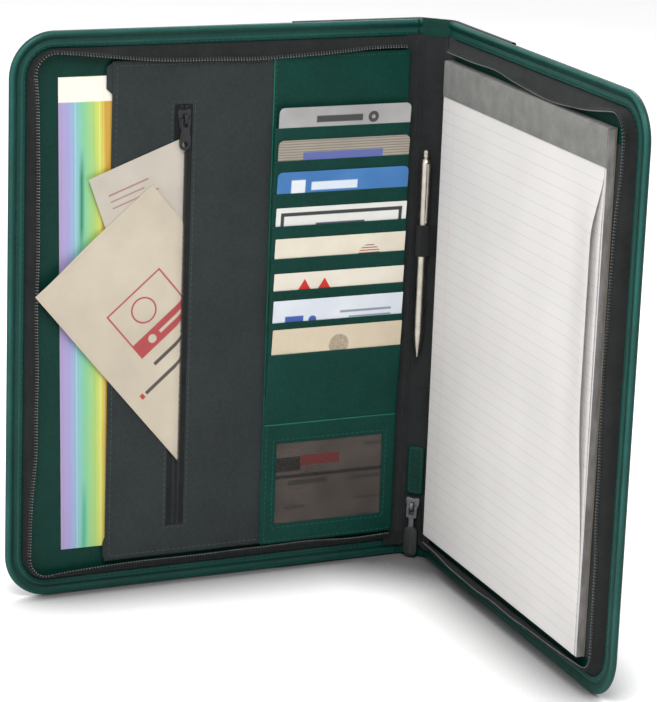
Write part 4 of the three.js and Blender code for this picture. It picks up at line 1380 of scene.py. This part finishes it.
def ring_pull(form, place, width, length, hole):
    """A flat tongue with an eye for the bridge and a round hole near its free end."""
    half = width / 2
    end = -length + half

    def edge(b):
        """Half width of the tongue at this height."""
        if b < end:
            return math.sqrt(max(0.0, half * half - (b - end) ** 2))
        waist = 0.8 * math.exp(-(((b + 6.2) / 2.6) ** 2))
        return half - waist

    heights = [-length + rise for rise in (0.02, 0.3, 0.9)] + steps(-length + 1.6, 0.45, 0.5)
    for b0, b1 in zip(heights, heights[1:]):
        middle = (b0 + b1) / 2
        gap = 0.0
        if abs(middle - end) < hole:
            gap = math.sqrt(hole * hole - (middle - end) ** 2)
        if -4.6 < middle < -0.45:
            gap = max(gap, 1.35)
        for way in (-1, 1) if gap > 0 else (0,):
            rows = []
            for b in (b0, b1):
                left, right = (way * gap, way * edge(b)) if way else (-edge(b), edge(b))
                corners = ((left, -0.42), (right, -0.42), (right, 0.42), (left, 0.42))
                rows.append([place(a, b, n) for a, n in corners])
            form.rows(rows, closed=True, capped=True)


def main_zipper_end():
    slider(
        "main_slider_body", spine, 0.0, SLIDER_FOOT, SLIDER_TOP, 4.55, 9.4, "spine",
        GREY_METAL, ["main_slider"],
    )
    axis_v, axis_n = MAIN_PULL_AXIS

    def place(a, b, n):
        return spine(a, axis_v + b, axis_n + n)

    link = Form()
    for way in (-1, 1):
        arm = rounded(1.9, 6.6, 0.6, 3, (0, -2.9))
        bar(link, lambda a, b, n: place(way * 2.55 + a, b, n), arm, 0.25, 0.5, 0.3)
    bar(link, place, rounded(3.4, 14.0, 0.8, 3, (0, -12.0)), 0.2, 0.45, 0.25)
    bar(link, place, rounded(7.0, 2.2, 0.6, 3, (0, -5.8)), 0.2, 0.48, 0.25)
    link.make("main_pull_metal", "main_pull", [GREY_METAL], ["main_pull_link"])
    grip = Form()
    middle = -12.5 - 9.5
    slab(grip, place, rounded(9.0, 19.0, 3.6, 6, (0, middle)),
         ((1.2, -1.1), (0.3, -0.85), (0.0, -0.3), (0.0, 0.3), (0.3, 0.85), (1.2, 1.1)))
    for b in steps(middle - 7.0, middle + 7.0, 1.25):
        for level in (1.12, -1.12):
            centre = place(0.0, b, level)
            bead(grip, centre, place(1.0, b, level) - centre, place(0, b, level * 2) - centre,
                 3.6, 0.7, 0.6)
    grip.make("main_pull_rubber", "main_pull", [RUBBER], ["main_pull_grip"])
    tab = Form()
    slab(tab, spine, rounded(11.0, TAB_TOP - TAB_FOOT, 2.5, 5, (0.0, (TAB_TOP + TAB_FOOT) / 2)),
         ((0.2, 1.2), (0.0, 1.5), (0.0, 2.2), (0.3, 2.6), (1.0, 2.8), (2.2, 2.75)))
    border = 1.8
    line = frame_line(-5.5 + border, 5.5 - border, TAB_FOOT + border, TAB_TOP - border)
    stitches(tab, spine, line, 2.82)
    tab.make("zipper_end_patch", "spine", [GREEN, GREEN_THREAD], ["zipper_end_tab"])
    for side, prefix in ((FRONT, "front"), (BACK, "back")):
        tape_tail(side, prefix)


def tape_tail(side, prefix):
    """The end of a zipper tape, from the cover's lower edge up into the slider."""
    points = [
        (cover(side, 12.0, 13.2, 4.6), 0.5), (cover(side, 8.0, 12.6, 4.6), 0.5),
        (cover(side, 4.0, 11.6, 4.4), 0.45), (Vector((side * 8.2, -4.2, 10.6)), 0.3),
        (Vector((side * 6.4, -3.6, 11.2)), 0.2), (Vector((side * 5.2, -3.0, 14.0)), 0.05),
        (Vector((side * 4.0, -2.75, 18.5)), 0.0), (Vector((side * 3.3, -2.7, 24.0)), 0.0),
        (Vector((side * 3.1, -2.7, 37.5)), 0.0),
    ]
    form = Form()
    rows, flats, run = [], [], 0.0
    for k, (point, stand) in enumerate(points):
        before, after = neighbours(points, k)
        way = (after[0] - before[0]).normalized()
        out = Vector((0.0, -1.0, 0.0))
        across = way.cross(out).normalized() * -side
        out = across.cross(way).normalized()
        if out.y > 0:
            out = -out
        wide = across * (1.9 + 5.0 * stand) + out * stand * 2.2
        thin = out * 0.22
        if k:
            run += (point - points[k - 1][0]).length
        left, right = point - wide, point + wide
        rows.append([left - thin, right - thin, right + thin, left + thin])
        flats.append([(run, 0.0), (run, 4.0), (run, 4.4), (run, 0.4)])
    form.rows(rows, flats, closed=True, capped=True)
    piece = form.make(f"{prefix}_tail", None, [TAPE_CLOTH], [f"{prefix}_tape_tail"], sharp=70)
    hinge_blend(piece)


# Pen


def pen():
    middle = (PEN_X, PEN_LEVEL)
    barrel = Form()
    r = PEN_RADIUS
    profile = [(0.55, PEN_TIP), (0.8, PEN_TIP + 0.4), (1.1, PEN_TIP + 2.4), (1.9, PEN_TIP + 5.5),
               (2.6, PEN_TIP + 9.5), (r - 0.12, PEN_TIP + 14.5), (r, PEN_TIP + 16.5)]
    height = PEN_TIP + 18.0
    while height < RIBS_TOP:
        profile += [(r, height), (r - 0.07, height + 0.4), (r - 0.07, height + 0.9), (r, height + 1.3)]
        height += RIB_PITCH
    profile += [(r, 199.6), (r - 0.35, 200.2), (r - 0.35, 200.9), (r, PEN_JOINT)]
    turned(barrel, spine, middle, profile)
    barrel.make("pen_barrel", "spine", [SILVER], ["pen_lower_barrel"], sharp=30)
    cap = Form()
    turned(cap, spine, middle, [
        (r, PEN_JOINT), (r, 203.0), (r - 0.15, 203.3), (r, 203.6), (r, 248.5), (r + 0.1, 248.9),
        (r + 0.1, 250.2), (r - 0.3, 250.8), (r - 0.5, 252.0),
    ])
    cap.make("pen_cap", "spine", [SILVER], ["pen_upper_barrel"], sharp=30)
    finial = Form()
    turned(finial, spine, middle, [
        (1.8, 252.0), (1.8, 252.8), (2.3, 253.3), (2.4, 254.0), (2.4, 256.2), (2.1, 257.2),
        (1.4, 257.8), (0.5, PEN_TOP),
    ])
    finial.make("pen_end", "spine", [SILVER], ["pen_finial"], sharp=30)
    clip = Form()
    turn = math.radians(45)

    def place(a, b, n):
        x = math.cos(turn) * a + math.sin(turn) * n
        level = -math.sin(turn) * a + math.cos(turn) * n
        return spine(PEN_X + x, b, PEN_LEVEL + level)

    corners = ((-1, -0.5), (1, -0.5), (1, 0.25), (0.55, 0.5), (-0.55, 0.5), (-1, 0.25))
    rows = []
    for b, width, n, thick in (
        (250.2, 1.1, 3.5, 0.5), (249.6, 1.2, 4.3, 0.7), (247.8, 1.2, 4.75, 0.7),
        (240.0, 1.15, 4.85, 0.65), (228.0, 1.0, 4.8, 0.6), (218.5, 0.85, 4.55, 0.55),
        (215.6, 0.8, 4.2, 0.6), (214.2, 0.75, 4.4, 0.5), (213.6, 0.6, 4.8, 0.4),
    ):
        rows.append([place(width * a, b, n + thick * rise) for a, rise in corners])
    clip.rows(rows, closed=True, capped=True)
    clip.make("pen_clip_bar", "spine", [SILVER], ["pen_clip"])
    pen_loop()


def pen_loop():
    inner = PEN_RADIUS + 0.25
    thick = 0.55
    section = [(-7.3, 1.25), (PEN_X - inner - 1.0, 1.25), (PEN_X - inner - 0.1, 1.9)]
    for k in range(19):
        angle = math.pi - math.pi * k / 18
        section.append((PEN_X + inner * math.cos(angle), PEN_LEVEL + inner * math.sin(angle)))
    section += [(PEN_X + inner + 0.1, 1.9), (PEN_X + inner + 1.0, 1.25), (7.3, 1.25)]
    heights = steps(LOOP_FOOT, LOOP_TOP, 0.9)
    rows, flats = [], []
    for height in heights:
        rib = 0.09 * math.sin(height * math.tau / 2.0)
        faces, backs, run, flat = [], [], 0.0, []
        for k, (x, n) in enumerate(section):
            before, after = neighbours(section, k)
            way = (after[0] - before[0], after[1] - before[1])
            size = math.hypot(*way)
            out = (-way[1] / size, way[0] / size)
            step = thick + rib
            faces.append(spine(x + out[0] * step, height, n + out[1] * step))
            backs.append(spine(x, height, n))
            run += size / 2
            flat.append((run, height))
        rows.append(faces + backs[::-1])
        flats.append(flat + flat[::-1])
    form = Form()
    form.rows(rows, flats, closed=True, capped=True)
    form.make("pen_elastic", "spine", [ELASTIC], ["pen_loop"], sharp=60)


# Back cover: writing pad


def ruled_look():
    look = Look("ruled_paper", specular=0.2)
    base = look.mottled(70.0, (229, 226, 223), (221, 218, 216), detail=2.0)
    rules = look.band(look.math("MODULO", look.b, RULE_PITCH), 0.0, 0.34, 0.16)
    base = look.mix(look.times(rules, 0.45), base, (164, 174, 190))
    margin = look.band(look.a, PAD_MARGIN, PAD_MARGIN + 0.5, 0.15)
    base = look.mix(look.times(margin, 0.35), base, (226, 160, 168))
    fibres = look.noise(0.7, 3.0)
    look.bump(fibres, 0.02)
    return look.finish(base, fibres, 0.65, 0.8)


# The stack's sides are painted mid grey, far darker than the white sheets: painted shade.
def shaded_page_edge_look():
    look = Look("page_edges_painted_shade", specular=0.2)
    lines = look.noise(0.28, 2.0, 0.6, stretch=(0.05, 0.05, 0.02))
    colour = look.mix(look.range(lines, 0.35, 0.65), (150, 147, 145), (122, 119, 118))
    look.bump(lines, 0.04)
    return look.finish(colour, lines, 0.65, 0.8)


def header_look():
    look = Look("pad_header", specular=0.2)
    weave = look.noise(0.9, 4.0, 0.7)
    clouds = look.noise(9.0, 3.0)
    share = look.times(look.math("ADD", weave, clouds), 0.5)
    colour = look.mix(look.range(share, 0.35, 0.65), (116, 116, 113), (140, 140, 137))
    look.bump(weave, 0.12)
    return look.finish(colour, weave, 0.7, 0.85)


def pad_curl(u, v):
    """How far the top sheet's free edge lifts off the pad."""
    edge = smooth((u - 188.0) / 37.0)
    height = smooth((PAD_TOP - HEADER_HEIGHT - v) / 40.0)
    foot = smooth((v - 60.0) / 110.0)
    return edge * height * (0.3 + 4.2 * foot)


def writing_pad():
    ruled, edges = ruled_look(), shaded_page_edge_look()
    board = Form()
    plate(
        board, back, steps(POCKET_START, PAD_EDGE, 20.0), steps(PAD_FOOT, PAD_TOP, 20.0),
        lambda a, b: 3.85, 0.7,
    )
    board.make(
        "pad_card", "back_cover",
        [paper("pad_cardboard", (150, 140, 124), (128, 118, 104))], ["pad_backing_board"],
    )
    stack = Form()
    plate(
        stack, back, steps(POCKET_START + 0.1, PAD_EDGE - 0.2, 12.0),
        steps(PAD_FOOT + 0.1, PAD_TOP - 0.1, 12.0), lambda a, b: 7.9, 3.9,
    )
    # The stack's sides carry the painted shade of the page edges.
    stack.make("pad_stack", "back_cover", [edges], ["pad_sheets"])
    top = PAD_TOP - 0.4
    for index, (share, trim) in enumerate(((0.0, 0.4), (0.12, 0.9), (1.0, 1.6))):
        sheet = Form()

        def level(a, b):
            return PAD_FACE + 0.16 * index + pad_curl(a, b) * share

        def place(a, b, n):
            pull = pad_curl(a, b) * share * 0.8
            return back(a - pull * smooth((a - 200.0) / 25.0), b, n)

        plate(
            sheet, place, steps(POCKET_START + 0.15, PAD_EDGE - trim, 4.0),
            steps(PAD_FOOT + 0.3 + index * 0.2, top, 5.0), level, 0.1,
            flat=lambda a, b: (a - POCKET_START, PAD_TOP - b),
        )
        sheet.make(f"pad_page_{index + 1}", "back_cover", [ruled])
    header()
    sleeve()


def header():
    form = Form()
    low = PAD_TOP - HEADER_HEIGHT
    section = [
        (low, 8.5), (low + 0.5, 8.72), (low + 6, 8.75), (low + 14, 8.75), (PAD_TOP - 0.6, 8.72),
        (PAD_TOP + 0.1, 8.45), (PAD_TOP + 0.35, 7.6), (PAD_TOP + 0.35, 3.3),
    ]
    crinkle = wave(303, 0.14, 17.0)
    rows, flats = [], []
    for u in steps(POCKET_START - 0.1, PAD_EDGE + 0.1, 3.0):
        lift = crinkle(u)
        rows.append([back(u, v + lift * 0.6, n + lift * 0.4) for v, n in section]
                    + [back(u, v - 0.25, n - 0.25) for v, n in reversed(section)])
        flats.append([(u, v + n) for v, n in section] * 2)
    form.rows(rows, flats, closed=True, capped=True)
    form.make("pad_binding", "back_cover", [header_look()], ["pad_header_binding"])


def sleeve():
    form = Form()
    edge = PAD_EDGE + 10.0

    def level(a, b):
        drop = roll(min(edge - a, b - PAD_FOOT, PAD_TOP - 8 - b), 1.2, 0.15)
        return 2.97 - drop

    plate(
        form, back, edged(POCKET_START, edge, 12.0), edged(PAD_FOOT, PAD_TOP - 8.0, 12.0), level, 0.36,
    )
    stitches(form, back, [(edge - 2.0, PAD_FOOT + 2), (edge - 2.0, PAD_TOP - 10)], 2.99)
    form.make("pad_sleeve_panel", "back_cover", [CHARCOAL, DARK_THREAD], ["pad_sleeve"])


# Stage, light and camera

SENSOR = 36.0
FOCAL_PIXELS = 2896.0
PICTURE_PIXELS = 702.0
EYE = (0.57024, -1.61329, 0.58797)
EYE_TURN = (74.98448, -2.10044, 21.94328)
FLOOR_REACH = 9000.0


def stage():
    look = Look("floor", specular=0.05)
    rays = look.node("LightPath")
    shade = look.noise(160.0, 2.0)
    colour = look.mix(look.range(shade, 0.3, 0.7), (250, 250, 250), (253, 253, 253))
    # Painted contact shadow: where ambient occlusion finds the object near, the floor is painted
    # towards grey and its glow is dimmed.
    near = look.node("AmbientOcclusion", samples=8)
    near.inputs["Distance"].default_value = 0.07
    outside_painted_shadow = look.range(near.outputs["AO"], 0.4, 0.97)
    colour = look.mix(outside_painted_shadow, (112, 112, 112), colour)
    look.finish(colour, shade, 0.85, 0.95)
    look.join(
        look.times(look.times(rays.outputs["Is Camera Ray"], 0.35), outside_painted_shadow),
        look.shader.inputs["Emission Strength"],
    )
    look.shader.inputs["Emission Color"].default_value = (1, 1, 1, 1)
    form = Form()
    places = steps(-FLOOR_REACH, FLOOR_REACH, 3000.0)
    form.rows([[Vector((x, y, 0.0)) for x in places] for y in places])
    floor = form.make("floor", None, [look.material])


def world():
    place = bpy.data.worlds.new("studio")
    bpy.context.scene.world = place
    place.use_nodes = True
    tree = place.node_tree
    ground = tree.nodes["Background"]
    rays = tree.nodes.new("ShaderNodeLightPath")
    seen = rays.outputs["Is Camera Ray"]
    for kind in ("Is Glossy Ray", "Is Transmission Ray"):
        either = tree.nodes.new("ShaderNodeMath")
        either.operation = "MAXIMUM"
        tree.links.new(seen, either.inputs[0])
        tree.links.new(rays.outputs[kind], either.inputs[1])
        seen = either.outputs[0]
    level = tree.nodes.new("ShaderNodeMapRange")
    tree.links.new(seen, level.inputs[0])
    level.inputs[3].default_value = 0.55
    level.inputs[4].default_value = 1.0
    tree.links.new(level.outputs[0], ground.inputs["Strength"])
    ground.inputs["Color"].default_value = (1, 1, 1, 1)


def lamp(name, place, target, size, power):
    data = bpy.data.lights.new(name, "AREA")
    data.shape = "DISK"
    data.size = size
    data.energy = power
    light = bpy.data.objects.new(name, data)
    light.location = place
    way = Vector(target) - Vector(place)
    light.rotation_euler = way.to_track_quat("-Z", "Y").to_euler()
    bpy.context.scene.collection.objects.link(light)


def camera():
    data = bpy.data.cameras.new("camera")
    data.sensor_width = SENSOR
    data.lens = FOCAL_PIXELS / PICTURE_PIXELS * SENSOR
    data.clip_start = 0.05
    data.clip_end = 60.0
    eye = bpy.data.objects.new("camera", data)
    eye.location = EYE
    eye.rotation_euler = tuple(math.radians(degrees) for degrees in EYE_TURN)
    bpy.context.scene.collection.objects.link(eye)
    bpy.context.scene.camera = eye


camera()
world()
stage()
lamp("key", (0.35, -1.15, 1.35), (0.0, -0.1, 0.2), 0.9, 17.0)
lamp("fill", (-1.6, -1.2, 1.1), (0.0, -0.1, 0.15), 1.2, 9.0)
lamp("top", (-0.1, 0.9, 1.5), (0.0, -0.1, 0.2), 1.0, 14.0)
bpy.context.scene.view_settings.view_transform = "Standard"

for cover_side, cover_name in ((FRONT, "front"), (BACK, "back")):
    cover_skin(cover_side, cover_name)
    cover_lining(cover_side, cover_name)
    zipper(cover_side, cover_name)
    outer_wrap(cover_side, cover_name)
    spine_band(cover_side, cover_name)
    spine_lining(cover_side, cover_name)
brochure()
zip_pocket()
pocket_zip()
papers()
card_column()
identity_pocket()
pocket_slider()
main_zipper_end()
pen()
writing_pad()
